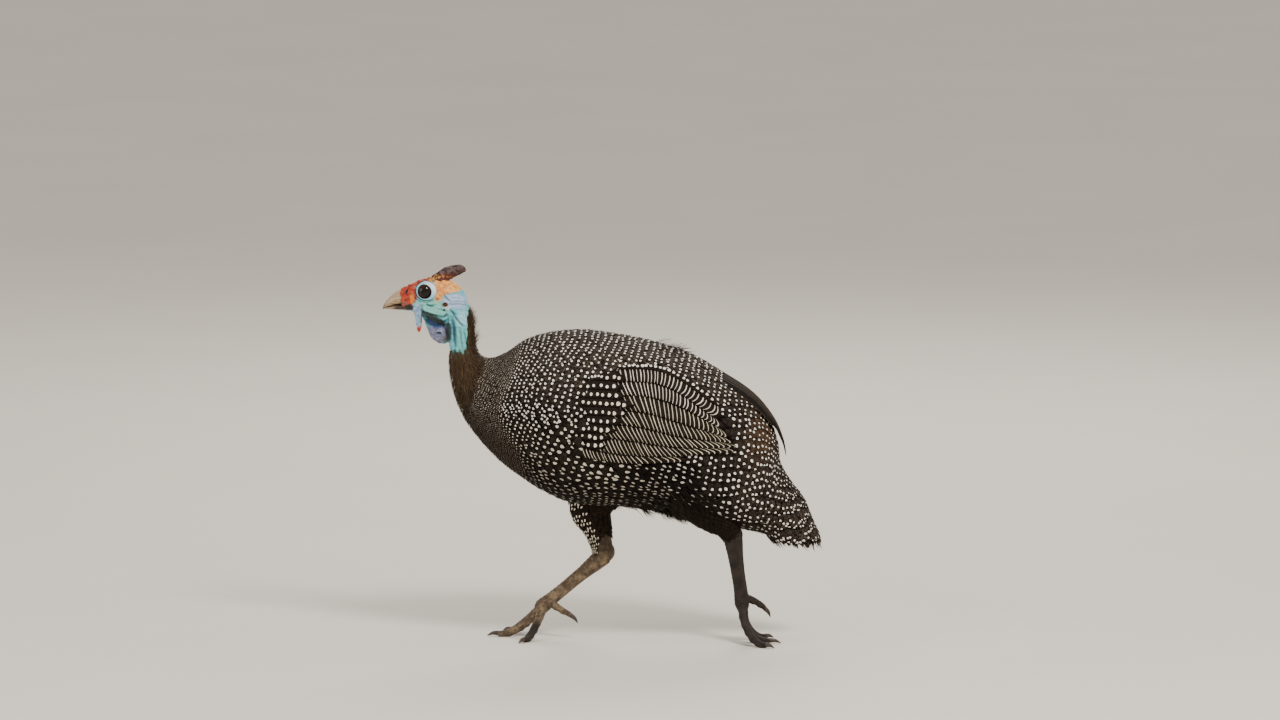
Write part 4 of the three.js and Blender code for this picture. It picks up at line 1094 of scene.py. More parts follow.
def bare_line(angle):
    """The place on the neck where the feathers end, in lobes, higher up the nape than at the throat."""
    front = np.cos(angle)
    lobes = 0.42 * np.abs(np.sin(7 * angle + 0.6)) ** 0.7
    return 19.15 - 0.85 * front - lobes + 3.4 * smoothstep(0.3, 0.95, front)


# The outlines of a hair and of a loose tuft, from root to tip
HAIR = ([0, 0.3, 0.7, 1], [0.8, 1, 0.6, 0.08])
TUFT = ([0, 0.3, 0.7, 1], [0.8, 1, 0.55, 0.06])


def neck_coat():
    """The close, hair-like feathers of the lower neck."""

    def step(place, *_):
        return 2.2 + 1.0 * smoothstep(17, 14, place)

    def column(place, *_):
        return 1.5 + 1.2 * smoothstep(17, 14.5, place)

    coat = Coat("coat_neck", DOWN)
    place, angle, _ = rows_of_roots(trunk, np.linspace(14.9, 21.9, 240), FULL_TURN, step, column, 16).T
    keep = place < bare_line(angle) + 0.35 * rng.random(len(place)) - 0.15
    place, angle = place[keep], angle[keep]
    n = len(place)
    length = step(place) * 3.4 * rng.normal(1, 0.15, n)
    width = column(place) * 0.7 * rng.normal(1, 0.2, n)
    hairs = Feathers(place, angle, length=length, width=width, turn=rng.normal(0, 0.16, n), round_tip=0.0)
    hairs.shape = HAIR
    hairs.low = np.full(n, -2.4)
    hairs.high = 0.3 + 0.9 * rng.random(n)
    bright = 1 - 0.5 * smoothstep(0.55, 0.9, np.cos(angle)) * smoothstep(16, 18.5, place)
    grey = 0.2 + 0.8 * rng.random(n) ** 1.5
    warm = smoothstep(15.2, 17.5, place) * (0.3 + 0.7 * rng.random(n))
    hairs.shade = shades(grey * bright, warm * bright, n)
    vanes(coat, hairs, rows=4, columns=2, thick=0.25, fray=0.0)
    return coat


def nape_bristles():
    """Loose brown bristles up the back of the neck, curving up and away from it."""
    coat = Coat("nape_bristles", DOWN)
    n = BRISTLES
    place = 17.8 + 3.4 * rng.random(n) ** 0.9
    angle = rng.normal(0, 0.3, n)
    root = raised(trunk, place, angle, np.full(n, -1.0))
    out = unit(raised(trunk, place, angle, np.full(n, 2.0)) - root)
    up = unit(trunk(place + 0.1, angle) - trunk(place, angle))
    length = rng.uniform(5, 14, n) * (1 - 0.45 * smoothstep(19.6, 21.2, place))
    lean = rng.uniform(0.9, 3.6, n)
    t = np.linspace(0, 1, 7)
    way = unit(out + up * lean[:, None] + rng.normal(0, 0.16, (n, 3)))
    line = root[:, None] + way[:, None] * (length[:, None] * t)[..., None]
    curl = rng.normal(0.05, 0.22, (n, 1)) * t**2 + 0.05 * np.sin(t * 9 + rng.uniform(0, 6, (n, 1)))
    line = line + (out - 0.4 * up)[:, None] * (length[:, None] * curl)[..., None]
    side = unit(np.cross(way, np.array([0, 1.0, 0]) + rng.normal(0, 0.4, (n, 3))))
    other = unit(np.cross(way, side))
    thick = (rng.uniform(0.16, 0.34, (n, 1)) * (1 - 0.85 * t))[..., None]
    turns = 2 * np.pi * np.arange(3) / 3
    rings = [line + (side[:, None] * math.cos(a) + other[:, None] * math.sin(a)) * thick for a in turns]
    points = np.stack(rings, 2).reshape(n, -1, 3)
    tris = np.vstack([quads(6, 3, 3), [[0, 2, 1], [18, 19, 20]]])
    lie = np.stack([np.tile([0.0, 0.5, 1.0], 7), np.repeat(t, 3)], -1)
    shade = shades(rng.random(n) * 0.3, 0.25 + 0.6 * rng.random(n), n)
    coat.add(points, tris, chart(place, angle), lie, shade)
    return coat


# The wing's long feathers from the top one down, by their lower edges, and how far their bars slant
LONG_EDGES = [
    [[-30, 276], [22, 280], [68, 274], [117, 241]],
    [[-24, 266], [28, 269], [70, 261], [118, 228]],
    [[-20, 253], [34, 256], [76, 246], [124, 219]],
    [[-18, 241], [36, 241], [80, 229], [130, 212]],
    [[-18, 230], [34, 227], [80, 216], [133, 208]],
    [[-20, 219], [28, 213], [76, 206], [136, 204]],
    [[-26, 207], [22, 199], [70, 197], [138, 200]],
    [[-30, 199], [0, 193], [34, 190], [90, 192]],
]
SLANTS = [0, 3, 6, 9, 11.5, 12.5, 11.5, 8]
# Where a bar starts and ends across its feather
BAR_FROM, BAR_TO = 0.72, -0.92
COVERT_TIPS = np.array([-4, 6, 10, 16, 22, 28, 34, 25, 22, 26], float)
COVERT_LOW = np.array([-0.8, 0.4, 1.4, 2.0, 2.4, 2.7, 2.9, 3.0, 3.1, 3.2])


def long_feathers(side):
    edge = np.array(LONG_EDGES, float)
    above = np.concatenate([edge[:1] + [0, 5], edge[:-1]])
    low, high = np.linspace(2.3, 0.7, len(edge)), np.linspace(4.2, 1.6, len(edge))
    shape = ([0, 0.9, 0.97, 1], [1, 1, 0.85, 0.5])
    return WingFeathers(side, edge, above, low=low, high=high, shape=shape, round_tip=0.05)


def coverts(side):
    q = np.linspace(0, 1, len(COVERT_TIPS))
    root = np.stack([-46 - 16 * np.sin(np.pi * q), 203 + 66 * q], 1)
    tip = np.stack([COVERT_TIPS, root[:, 1] - 6 + 5 * q], 1)
    edge = root[:, None] + (tip - root)[:, None] * np.arange(4)[None, :, None] / 3
    edge[:, 1:3, 1] += np.array([1.2, 1.6]) * (2 * q[:, None] - 0.9)
    above = np.concatenate([edge[1:], edge[-1:] + [0, 8]])
    looks = {"low": COVERT_LOW - 2.2, "high": COVERT_LOW + 1.5, "power": 0.45, "round_tip": 0.08}
    return WingFeathers(side, edge, above, shape=([0, 0.8, 0.93, 1], [1, 1, 0.9, 0.5]), **looks)


def one_of(feathers, i, count):
    return feathers.pick(np.full(count, i))


def spot_row(feathers, i, coats, step, q, radius, start, stretch, grow=0.0, warm=0.0):
    """A row of spots along one feather, growing towards the tip."""
    length = feathers.length[i]
    count = int((0.97 - start) * length / step)
    many = one_of(feathers, i, count)
    share = (np.arange(count) + rng.uniform(0.2, 0.8)) / count
    t = start + (0.95 - start) * share + rng.normal(0, 0.5, count) / length
    r = radius * (1 - grow + grow * share) * rng.normal(1, 0.1, count)
    spread = q + rng.normal(0, 0.09, count)
    discs(coats[1], many, t, spread, r * 1.45, stretch, lift=0.1)
    discs(coats[2], many, t, spread, r, stretch, lift=0.24, warm=warm)


def three_coats(kind, name):
    """Vanes, dark rings and white spots."""
    rings, spots = kind + "_rings_" + name, kind + "_spots_" + name
    return Coat(kind + "_coat_" + name, PLUMAGE), Coat(rings, RING_DARK), Coat(spots, SPOT_WHITE)


def wing_coat(name, side):
    coats = three_coats("wing", name)
    feathers = long_feathers(side)
    vanes(coats[0], feathers, rows=18, columns=6, thick=0.3, fray=0.6)
    spot_row(feathers, 0, coats, step=5.0, q=0.0, radius=1.45, start=0.2, stretch=1.05, warm=0.1)
    for i, slant in enumerate(SLANTS[1:], 1):
        step, warm = (4.1, 0.3) if i < 3 else (4.8, 0.75)
        length = feathers.length[i]
        count = int(0.86 * length / step)
        t = 0.12 + (np.arange(count) + rng.normal(0, 0.06, count)) * step / length
        bars(coats[2], one_of(feathers, i, count), t, rng.normal(0.86, 0.11, (count, 1)), slant, warm)
    feathers = coverts(side)
    vanes(coats[0], feathers, rows=10, columns=6, thick=0.3, fray=0.6)
    looks = {"step": 6.0, "q": -0.36, "radius": 2.1, "start": 0.26, "grow": 0.42}
    for i in range(len(feathers.place)):
        spot_row(feathers, i, coats, stretch=rng.uniform(0.7, 0.9), warm=rng.uniform(0.1, 0.6), **looks)
    return coats


def primaries_coat(name, side):
    """The dark tip of the folded wing along the rump."""
    coat = Coat("primaries_coat_" + name, FLIGHT)
    n = PRIMARIES
    angle = -side * np.radians(np.linspace(3.5, 21, n))
    end = 3.3 + 0.32 * np.arange(n) + rng.normal(0, 0.05, n)
    looks = {
        "low": np.linspace(-2.0, -2.6, n),
        "high": np.linspace(6.8, 4.8, n),
        "shape": ([0, 0.2, 0.7, 0.92, 1], [0.7, 1, 1, 0.8, 0.3]),
        "shade": shades(rng.random(n), rng.random(n), n),
    }
    looks.update(width=8.5, power=0.95, roll=side * 0.2, camber=0.02, round_tip=0.05)
    feathers = Strips(np.full(n, 7.9), angle, end, angle * 0.92, **looks)
    vanes(coat, feathers, rows=16, columns=6, thick=0.35, fray=0.8)
    return coat


def tail_coat():
    """The tail's own feathers under their coverts, with a frayed lower edge."""
    coat = Coat("tail_coat", PLUMAGE)
    for count, start, end, spread, width, low, high in (
        (16, 2.6, -2.0, 128, 15, -6.0, -2.6),
        (18, 3.2, -1.3, 150, 14, -5.0, -2.4),
        (20, 3.6, -0.4, 172, 14, -4.4, -2.2),
    ):
        angle = np.radians(np.linspace(-spread, spread, count))
        tips = end + rng.normal(0, 0.12, count)
        looks = {"width": width, "low": low, "high": high, "round_tip": 0.06}
        looks["shape"] = ([0, 0.2, 0.7, 0.92, 1], [0.7, 1, 1, 0.85, 0.4])
        looks["shade"] = shades(0.8, 0.05, count)
        feathers = Strips(np.full(count, start), angle, tips, angle, **looks)
        vanes(coat, feathers, rows=9, columns=4, thick=0.35, fray=1.2)
    return coat


def tufts(name, place, angle, **looks):
    coat = Coat(name, DOWN)
    feathers = Feathers(place, angle, low=-2.5, round_tip=0.0, shape=TUFT, swell=swell, **looks)
    vanes(coat, feathers, rows=4, columns=2, thick=0.3, fray=0.0)
    return coat


def belly_coat():
    """Loose dark tufts under the belly and at the vent."""
    n = BELLY_TUFTS
    hanging = rng.random(n) < 0.55
    place = np.where(hanging, rng.normal(6.7, 0.75, n), rng.uniform(1.0, 10.5, n))
    angle = np.pi + rng.normal(0, 0.45, n)
    clump = smoothstep(-0.2, 0.8, np.sin(place * 9 + 2.4 * np.sin(angle * 6)))
    length = rng.uniform(8, 15, n) * np.where(hanging, 1.1, 0.9)
    rise = rng.uniform(0.2, 1.5, n) + np.where(hanging, (1.5 + 6.5 * clump) * rng.random(n) ** 0.7, 0)
    rise += 3 * hump(place, 9.2, 0.6) * clump * rng.random(n)
    turn = 0.35 * np.sin(place * 5 + angle * 4) + rng.normal(0, 0.14, n)
    width = rng.uniform(1.0, 3.2, n)
    shade = shades(rng.random(n) * 0.12, rng.random(n) * 0.06, n)
    return tufts("belly_tufts", place, angle, length=length, width=width, high=rise, turn=turn, shade=shade)


def back_tuft():
    """A few loose feather ends that stand up from the back behind the wings."""
    n = BACK_TUFTS
    place, angle = rng.normal(8.7, 0.22, n), rng.normal(0.05, 0.12, n)
    looks = {"high": rng.uniform(1.5, 7.5, n), "shade": shades(rng.random(n) * 0.3, rng.random(n) * 0.2, n)}
    looks["turn"] = rng.normal(0, 0.3, n)
    looks["length"] = rng.uniform(9, 16, n)
    return tufts("back_tuft", place, angle, width=rng.uniform(0.6, 1.3, n), **looks)


def tail_fringe():
    """Fine loose ends all round the tail."""
    n = FRINGE
    place = rng.uniform(-1.6, 0.6, n)
    angle = rng.uniform(-np.pi, np.pi, n)
    length = rng.uniform(8, 15, n)
    looks = {"length": length, "shade": shades(rng.random(n) * 0.7, rng.random(n) * 0.1, n)}
    looks["width"] = rng.uniform(0.8, 1.8, n)
    looks.update(turn=rng.normal(0, 0.15, n), low=-2.0, high=-0.5, round_tip=0.0, shape=TUFT)
    coat = Coat("tail_fringe", DOWN)
    feathers = Feathers(place, angle, **looks)
    feathers.per_place = np.full(n, 12.0)
    inside = place - length / 12 > -2.6
    vanes(coat, feathers.pick(inside), rows=4, columns=2, thick=0.3, fray=0.0)
    return coat


def shin_coat(name, leg):
    """Small feathers down the shin, each lying over the next."""

    def surface(place, angle):
        return limb(leg["shin"], place, angle)

    def step(place, *_):
        return 6.2 - 3.4 * smoothstep(1, 5, place)

    def column(place, *_):
        return 9.5 - 5.5 * smoothstep(1, 5, place)

    far = name == "right"
    coats = three_coats("shin", name)
    place, angle, _ = rows_of_roots(surface, np.linspace(0.3, 5.85, 140), FULL_TURN, step, column, 3).T
    if far:
        ends = 3.0 + 1.7 * smoothstep(0.0, 0.7, np.cos(angle)) + rng.uniform(0, 0.5, len(place))
        place, angle = place[place < ends], angle[place < ends]
    n = len(place)
    down_leg = smoothstep(2.6, 5.2, place)
    front = smoothstep(0.0, 0.6, np.cos(angle))
    looks = {
        "length": step(place) * 2.7 * rng.normal(1, 0.06, n),
        "width": column(place) * 1.25,
        "low": -1.9 + 1.2 * down_leg,
        "high": 0.5 - 0.3 * down_leg + 0.2 * rng.random(n),
    }
    # The left shin stays near black, painted shade; the right one turns greyer and warmer down the leg and
    # at its back, painted light
    grey, warm = np.full(n, 0.1), 0.05
    if far:
        grey = 0.12 + 0.5 * down_leg
        warm = 0.1 + 0.75 * smoothstep(3.4, 5.0, place) * (1 - 0.5 * front)
    looks.update(shade=shades(grey, warm * rng.uniform(0.6, 1.2, n), n), camber=0.015, chart=leg_chart)
    feathers = Feathers(place, angle, surface=surface, hand=-1, way=1, **looks)
    vanes(coats[0], feathers, rows=4, columns=4, thick=0.3, fray=0.3)
    spotted = (place < (4.8 if far else 1.0)) & (rng.random(n) < 0.95) & ((front > 0.25) | (not far))
    some = feathers.pick(spotted)
    lower = smoothstep(1.0, 4.5, some.place)
    small = (1.2 - 0.7 * lower) * (0.8 if far else 1.0)
    for q in (-0.42, 0.42):
        rings, spots = 1.3 + 0.8 * lower, 1.4 + 1.3 * lower
        discs(coats[1], some, 0.85, q, small * 1.5, rings, lift=0.1, corners=8, slant=0.5)
        discs(coats[2], some, 0.85, q, small, spots, lift=0.22, corners=8, slant=0.7, warm=0.6)
    return coats


# Bare skin: head, neck, throat and wattles, as one surface with its lids, folds, creases and warts
def bare_neck(place, angle):
    """The neck's skin, which sinks under the feathers below their upper edge."""
    edge = bare_line(angle)
    sunk = smoothstep(edge + 0.15, edge - 0.25, place)
    return raised(trunk, place, angle, -2.7 * sunk)

def head_forms():
    forms = [
        lofted(section, HEAD, 56, 48),
        loft(bare_neck, np.linspace(16.5, LAST_PLACE, 70), 64),
        lofted(section, THROAT, 40, 32),
    ]
    for side in SIDES.values():
        rows = [[x, side * y, z, depth, half] for x, y, z, depth, half in WATTLE]
        forms.append(lofted(limb, rows, 36, 24))
        forms.append(ball((-166, side * 8.5, 336), (12, 5.5, 8)))
        forms.append(ball((-160, side * 7.5, 328), (10, 5.0, 6)))
        forms.append(ball((-182, side * 6.0, 341), (7, 4.5, 6)))
    return forms


def eye_lids(points):
    """The socket pressed in behind the eye, with a swollen lid round it and a fold outside that."""
    r = np.hypot(points[:, 0] - EYE["x"], points[:, 2] - EYE["z"])
    lid = hump(r, 7.5, 0.9) + 0.4 * hump(r, 9.6, 0.9)
    groove = -0.35 * hump(r, 8.6, 0.4) - 0.3 * hump(r, 11.2, 0.5)
    for side in SIDES.values():
        y = points[:, 1]
        near = y * side > 2
        pressed = side * np.minimum(y * side, 7.0 + 2.4 * smoothstep(5.4, 6.4, r))
        y = np.where(near & (r < 6.4), pressed, y)
        points[:, 1] = np.where(near & (r >= 6.4) & (r < 14), y + side * (lid + groove), y)
    return points


def creases(points):
    """How deep the creases cut at points of the head, and how dark their painted shade is there."""
    x = points[:, 0] + 0.7 * noise(points, 5, 40)
    z = points[:, 2] + 0.7 * noise(points, 5, 41)
    depth, dark = np.zeros(len(points)), np.zeros(len(points))
    for line, deep, wide, darkness in CREASES:
        line = np.array(line, float)
        away = np.full(len(points), 99.0)
        for start, end in zip(line[:-1], line[1:]):
            way = end - start
            share = ((x - start[0]) * way[0] + (z - start[1]) * way[1]) / (way @ way)
            share = np.clip(share, 0, 1)
            gap = np.hypot(x - start[0] - way[0] * share, z - start[1] - way[1] * share)
            away = np.minimum(away, gap)
        ends = [np.hypot(x - at[0], z - at[1]) for at in (line[0], line[-1])]
        faded = smoothstep(0, 2.5, np.minimum(*ends) + 0.6)
        depth += faded * deep * (hump(away, 0, wide) - 0.4 * hump(away, 2 * wide, wide))
        dark = np.maximum(dark, faded * darkness * hump(away, 0, 0.75 * wide))
    side = smoothstep(2, 4, np.abs(points[:, 1]))
    return depth * side, dark * side


def head_relief(points, tris):
    points = eye_lids(points.copy())
    out = normals(points, tris)
    x, y, z = points.T
    quiet = smoothstep(8.0, 12.5, np.hypot(x - EYE["x"], z - EYE["z"]))
    cere = smoothstep(-182, -188, x + 0.35 * (z - 352)) * smoothstep(338, 342, z)
    brow = smoothstep(358, 362, z) * smoothstep(-150, -160, x)
    warty = np.clip(cere + brow, 0, 1) * (1 - 0.75 * smoothstep(-198, -201, x))
    height = warty * (1.0 * np.maximum(noise(points, 2.4, 3), -0.4) + 0.4 * noise(points, 1.2, 4)) * quiet
    back = smoothstep(-165, -150, x) * smoothstep(300, 325, z)
    wrinkle = np.sin((z * 0.9 + x * 0.25 + 2.2 * noise(points, 7, 5)) * 1.55)
    height += back * 0.2 * wrinkle * smoothstep(346, 338, z)
    neck = smoothstep(332, 318, z) * smoothstep(-172, -160, x)
    fold = np.abs(np.sin((x + 0.22 * z + 2.6 * noise(points * [1, 1, 0.4], 6, 6)) * 0.62)) ** 0.55
    height += neck * (0.6 * fold - 0.4)
    height -= creases(points)[0] * quiet
    height += 0.4 * noise(points, 3.2, 42) * quiet * smoothstep(352, 346, z) * (1 - neck)
    near = np.abs(y) > 3
    ear = np.hypot(x - EAR["x"], z - EAR["z"])
    rim = 0.9 * hump(ear, 3.0, 0.8) - 3.2 * smoothstep(2.4, 1.3, ear)
    height = np.where(near & (ear < 6), height * smoothstep(2, 6, ear) + rim, height)
    nose = np.hypot((x - NOSTRIL["x"]) / 0.95, (z - NOSTRIL["z"]) / 1.9)
    hole = -1.1 * smoothstep(1.0, 0.55, nose) + 0.6 * hump(nose, 1.5, 0.4)
    height = np.where(near & (nose < 3), height * smoothstep(1, 2.5, nose) + hole, height)
    height += (0.09 * noise(points, 0.9, 9) + 0.12 * noise(points, 1.9, 10)) * quiet
    return points + out * height[:, None]


CYAN, MINT = (0.09, 0.40, 0.47), (0.19, 0.53, 0.47)
PALE_BLUE, LAVENDER = (0.30, 0.58, 0.68), (0.36, 0.46, 0.66)
RED, ORANGE, PEACH = (0.24, 0.008, 0.004), (0.60, 0.19, 0.03), (0.80, 0.40, 0.10)
# The colour of the painted shade in the head's creases
CREASE_SHADE = (0.012, 0.035, 0.045)

# Patches of colour on the bare skin: a colour or the name of a mottled one, x, z, half the length and
# half the height, then how soft and how ragged the edge is, the turn and how much it covers
NECK_PATCHES = [
    ((0.012, 0.075, 0.13), -144.8, 312, 2.2, 13, 0.4, 0.5, -0.06, 0.9),
    ((0.15, 0.50, 0.47), -138, 303, 6, 16, 0.5, 0.5, 0, 0.8),
    (PALE_BLUE, -137, 328, 6.5, 9, 0.4, 0.3, 0.35, 0.8),
]
CHEEK_PATCHES = [
    (MINT, -167, 337, 16, 9, 0.3, 0.25, 0.2),
    ((0.42, 0.50, 0.16), -163, 346, 3.4, 4, 0.5, 0.4, 0, 0.6),
    ((0.02, 0.16, 0.13), -170, 340.6, 3.8, 1.1, 0.4, 0.4, 0.3, 0.8),
    (LAVENDER, -145, 344.5, 12, 7.5, 0.3, 0.3, 0.15),
    ((0.62, 0.72, 0.72), -153, 338.5, 4, 2.2, 0.4, 0.3, 0, 0.7),
    ((0.13, 0.045, 0.015), EAR["x"], EAR["z"], 3.2, 2.4, 0.25, 0.2),
    ((0.34, 0.24, 0.15), EAR["x"], EAR["z"], 1.4, 0.9, 0.3),
    ((0.006, 0.04, 0.06), -155.5, 336, 1.6, 1.3, 0.4, 0.3),
]
THROAT_PATCHES = [
    ("violet", -162, 312, 10.5, 12, 0.15, 0.15),
    # Painted shade in the slit of the throat fold
    ((0.006, 0.006, 0.014), -161, 311.8, 2.8, 1.2, 0.4, 0.3, 0, 0.95),
    ((0.10, 0.075, 0.035), -154, 305.5, 3.6, 3.6, 0.5, 0.4, 0, 0.7),
    ((0.018, 0.06, 0.17), -165, 322.5, 11, 4.6, 0.3, 0.3, 0.3),
    # Painted shadow under the jaw
    ((0.012, 0.014, 0.008), -165.5, 327, 14.5, 3.9, 0.3, 0.3, 0.5, 0.95),
    # Painted shadow between the throat fold and the neck
    ((0.007, 0.010, 0.009), -151.3, 314, 3.4, 11, 0.35, 0.5, 0, 0.93),
]
FACE_PATCHES = [
    ("ochre", -169.6, 367.2, 9.6, 4.3, 0.3, 0.3, -0.15),
    ("orange", -160, 349.5, 3.2, 4.5, 0.25, 0.3),
    ((0.36, 0.03, 0.012), -162.5, 347.2, 1.7, 1.5, 0.5, 0.4, 0, 0.85),
    ("red", -192.6, 350.4, 10.6, 11, 0.1, 0.14),
    ("red", -181, 364, 12, 3.8, 0.25, 0.2, -0.45),
    (ORANGE, -187.6, 346.6, 2.2, 5, 0.5, 0.4),
    ((0.30, 0.08, 0.05), -197, 340.4, 7, 3.4, 0.3, 0.3),
    ((0.03, 0.013, 0.009), -190.5, 337.6, 5.5, 3.4, 0.3, 0.25),
    # Painted shade in the nostril
    ((0.012, 0.006, 0.005), NOSTRIL["x"], NOSTRIL["z"], 1.1, 2.3, 0.3, 0.0, 0.3),
]
WATTLE_PATCHES = [
    ("grey blue", -182, 330, 5.5, 13, 0.15, 0.1),
    # Painted shade along the wattle's rear edge
    ((0.02, 0.05, 0.07), -177.4, 325, 1.5, 13, 0.6, 0.3, 0, 0.85),
    ("wattle red", -180.8, 313.4, 5, 6.2, 0.2, 0.25),
]
EYE_PATCHES = [
    ((0.005, 0.012, 0.015), -173.8, 354.7, 11.1, 10.0, 0.04, 0.03, 0, 0.9),
    ("lid", -173.3, 354.9, 10.3, 9.1, 0.05, 0.04),
    ((0.01, 0.009, 0.01), EYE["x"], EYE["z"], 7.3, 7.1, 0.05),
]


def bare_skin():
    s = Shader("blue_skin", 0.3)
    front = s.mottled(RED, (0.44, 0.05, 0.01), 0.3, 0.35, 0.6)
    pits = s.span(s.noise(s.place(), 0.8), 0.3, 0.45, 0.55, 0.0)
    lid = s.blob((-167, 0, 359), (8, THROUGH, 6.5), 0.6)
    mottles = {
        "violet": s.mottled((0.12, 0.12, 0.22), (0.24, 0.25, 0.38), 0.5, 0.36, 0.64, 4.0, 0.6),
        "orange": s.mottled(ORANGE, PEACH, 0.3, 0.35, 0.65),
        "ochre": s.mottled((0.16, 0.05, 0.016), (0.48, 0.22, 0.06), 0.3, 0.35, 0.65),
        "red": s.mix(pits, front, (0.09, 0.012, 0.006)),
        "grey blue": s.mottled((0.15, 0.27, 0.40), (0.30, 0.45, 0.56), 0.3, 0.4, 0.6),
        "wattle red": s.mottled((0.26, 0.016, 0.008), (0.60, 0.10, 0.05), 0.4, 0.35, 0.6),
        "lid": s.mix(lid, (0.26, 0.54, 0.66), (0.62, 0.76, 0.82)),
    }

    def dabbed(color, patches):
        for tint, *where in patches:
            color = s.dab(color, mottles.get(tint, tint), *where)
        return color

    grain = s.noise(s.place(), 0.5, 4.0)
    color = s.mix(s.span(grain, 0.35, 0.7), CYAN, (0.14, 0.50, 0.53))
    # Painted highlights: pale stretched flecks all over the skin
    highlight_streaks = s.noise(s.place((0.5, 0.5, 1)), 0.32, 4.0)
    color = s.mix(s.span(highlight_streaks, 0.45, 0.75, 0.0, 0.3), color, (0.50, 0.66, 0.70))
    color = dabbed(color, NECK_PATCHES + CHEEK_PATCHES + THROAT_PATCHES)
    crown = s.times(s.beyond(-0.25, 1, 389.7, 0.6), s.beyond(1, 0, -165, 0.8))
    color = dabbed(s.mix(crown, color, mottles["orange"]), FACE_PATCHES + WATTLE_PATCHES)
    # Painted shade in the creases, from the darkness kept in the shade attribute's red
    lines = s.times(s.shade("Red"), s.span(s.noise(s.place(), 0.6), 0.25, 0.55, 0.55, 1.0))
    color = dabbed(s.mix(lines, color, CREASE_SHADE), EYE_PATCHES)
    color = s.mix(s.beyond(0, -1, -288.5, 0.8, 0.6), color, (0.012, 0.008, 0.006))
    color = s.mix(s.span(grain, 0.3, 0.6, 0.22, 0.0), color, (0.015, 0.05, 0.07))
    s.bump(s.noise(s.place(), 1.6, 4.0), 0.25)
    s.bump(s.cells(s.place(), 1.1), 0.15, 0.35)
    s.bsdf.inputs["Subsurface Weight"].default_value = 0.06
    s.bsdf.inputs["Subsurface Radius"].default_value = (0.002, 0.001, 0.0006)
    s.bsdf.inputs["Subsurface Scale"].default_value = 0.5
    return s.done(color, s.span(grain, 0.0, 1.0, 0.42, 0.6))


def feathered_skin():
    s = Shader("feathered_skin", 0.2)
    spots = s.cells(s.place(), 0.14)
    ground = s.mix(s.noise(s.place(), 0.8), BLACK_BROWN, (0.05, 0.038, 0.029))
    marks = s.times(s.span(spots, 0.16, 0.24, 1.0, 0.0), s.blob((40, 0, 210), (150, 120, 110), 0.2))
    s.bump(s.noise(s.place(), 1.5), 0.3)
    return s.done(s.mix(marks, ground, WHITE), s.span(spots, 0.0, 1.0, 0.7, 0.85))


def leg_skin():
    """Near black on the left leg, painted shade, and tan and blotched on the right one, painted light, with
    dark bands at its knee.
    """
    s = Shader("leg_skin", 0.25)
    tone = s.noise(s.place(), 0.12, 4.0)
    patches = s.span(tone, 0.3, 0.7)
    plates = s.cells(s.place((0.8, 0.8, 0.8)), 0.75, "DISTANCE_TO_EDGE")
    blotch = s.noise(s.place((0.6, 0.6, 0.6)), 0.5, 4.0, 0.5)
    tan = s.mix(patches, (0.085, 0.055, 0.033), (0.20, 0.14, 0.083))
    tan = s.mix(s.span(blotch, 0.5, 0.68, 0.0, 0.7), tan, (0.03, 0.02, 0.013))
    tan = s.mix(s.span(blotch, 0.42, 0.3, 0.0, 0.6), tan, (0.34, 0.25, 0.15))
    # Painted shade makes the left leg near black, painted light makes the right leg tan
    far = s.blob((-40, 25, 45), (75, 22, 90), 0.25)
    color = s.mix(far, s.mix(patches, (0.008, 0.005, 0.004), (0.03, 0.02, 0.0145)), tan)
    waves = {"Vector": s.place((0.25, 0.3, 1)), "Scale": 0.5, "Distortion": 4.0, "Detail": 3.0}
    bands = s.span(s.node("TexWave", waves, bands_direction="Z")["Fac"], 0.45, 0.65, 0.0, 0.85)
    knee = s.times(far, s.blob((2, 30, 104), (26, 26, 24), 0.3))
    color = s.mix(s.times(knee, bands), color, (0.016, 0.01, 0.007))
    color = s.mix(s.span(plates, 0.0, 0.06, 0.5, 0.0), color, (0.012, 0.008, 0.006))
    s.bump(s.span(plates, 0.0, 0.14), 0.3, 0.7)
    s.bump(s.noise(s.place(), 2.0), 0.1)
    return s.done(color, s.span(tone, 0.0, 1.0, 0.45, 0.65))


def casque_bone():
    s = Shader("casque_bone", 0.3)
    tone = s.noise(s.place(), 0.3, 5.0, 0.5)
    pits = s.noise(s.place(), 0.9, 4.0)
    patches = s.noise(s.place(), 0.36, 3.0, 0.7)
    color = s.mix(s.span(tone, 0.3, 0.7), (0.016, 0.009, 0.008), (0.085, 0.045, 0.04))
    # Painted highlight: lighter mauve along the top of the casque
    ridge_highlight = s.blob((-150, 0, 378), (17, THROUGH, 4.5), 0.7, 0.4, -0.3)
    color = s.mix(s.times(ridge_highlight, s.span(tone, 0.45, 0.6, 0.0, 0.6)), color, (0.15, 0.105, 0.11))
    red = s.mix(s.span(patches, 0.40, 0.52), (0.09, 0.018, 0.011), (0.03, 0.013, 0.009))
    front = s.blob((-166, 0, 366), (8, THROUGH, 6), 0.5)
    yellow = s.mix(front, (0.38, 0.13, 0.035), (0.52, 0.25, 0.05))
    lumps = s.mix(s.span(patches, 0.50, 0.60), red, yellow)
    color = s.dab(color, lumps, -160, 365.5, 16, 5.4, 0.3, 0.35, -0.12)
    s.bump(pits, 0.4, 0.7)
    s.bump(patches, 0.5, 0.6)
    s.bump(s.noise(s.place(), 2.2), 0.25)
    return s.done(color, s.span(pits, 0.2, 0.8, 0.5, 0.75))


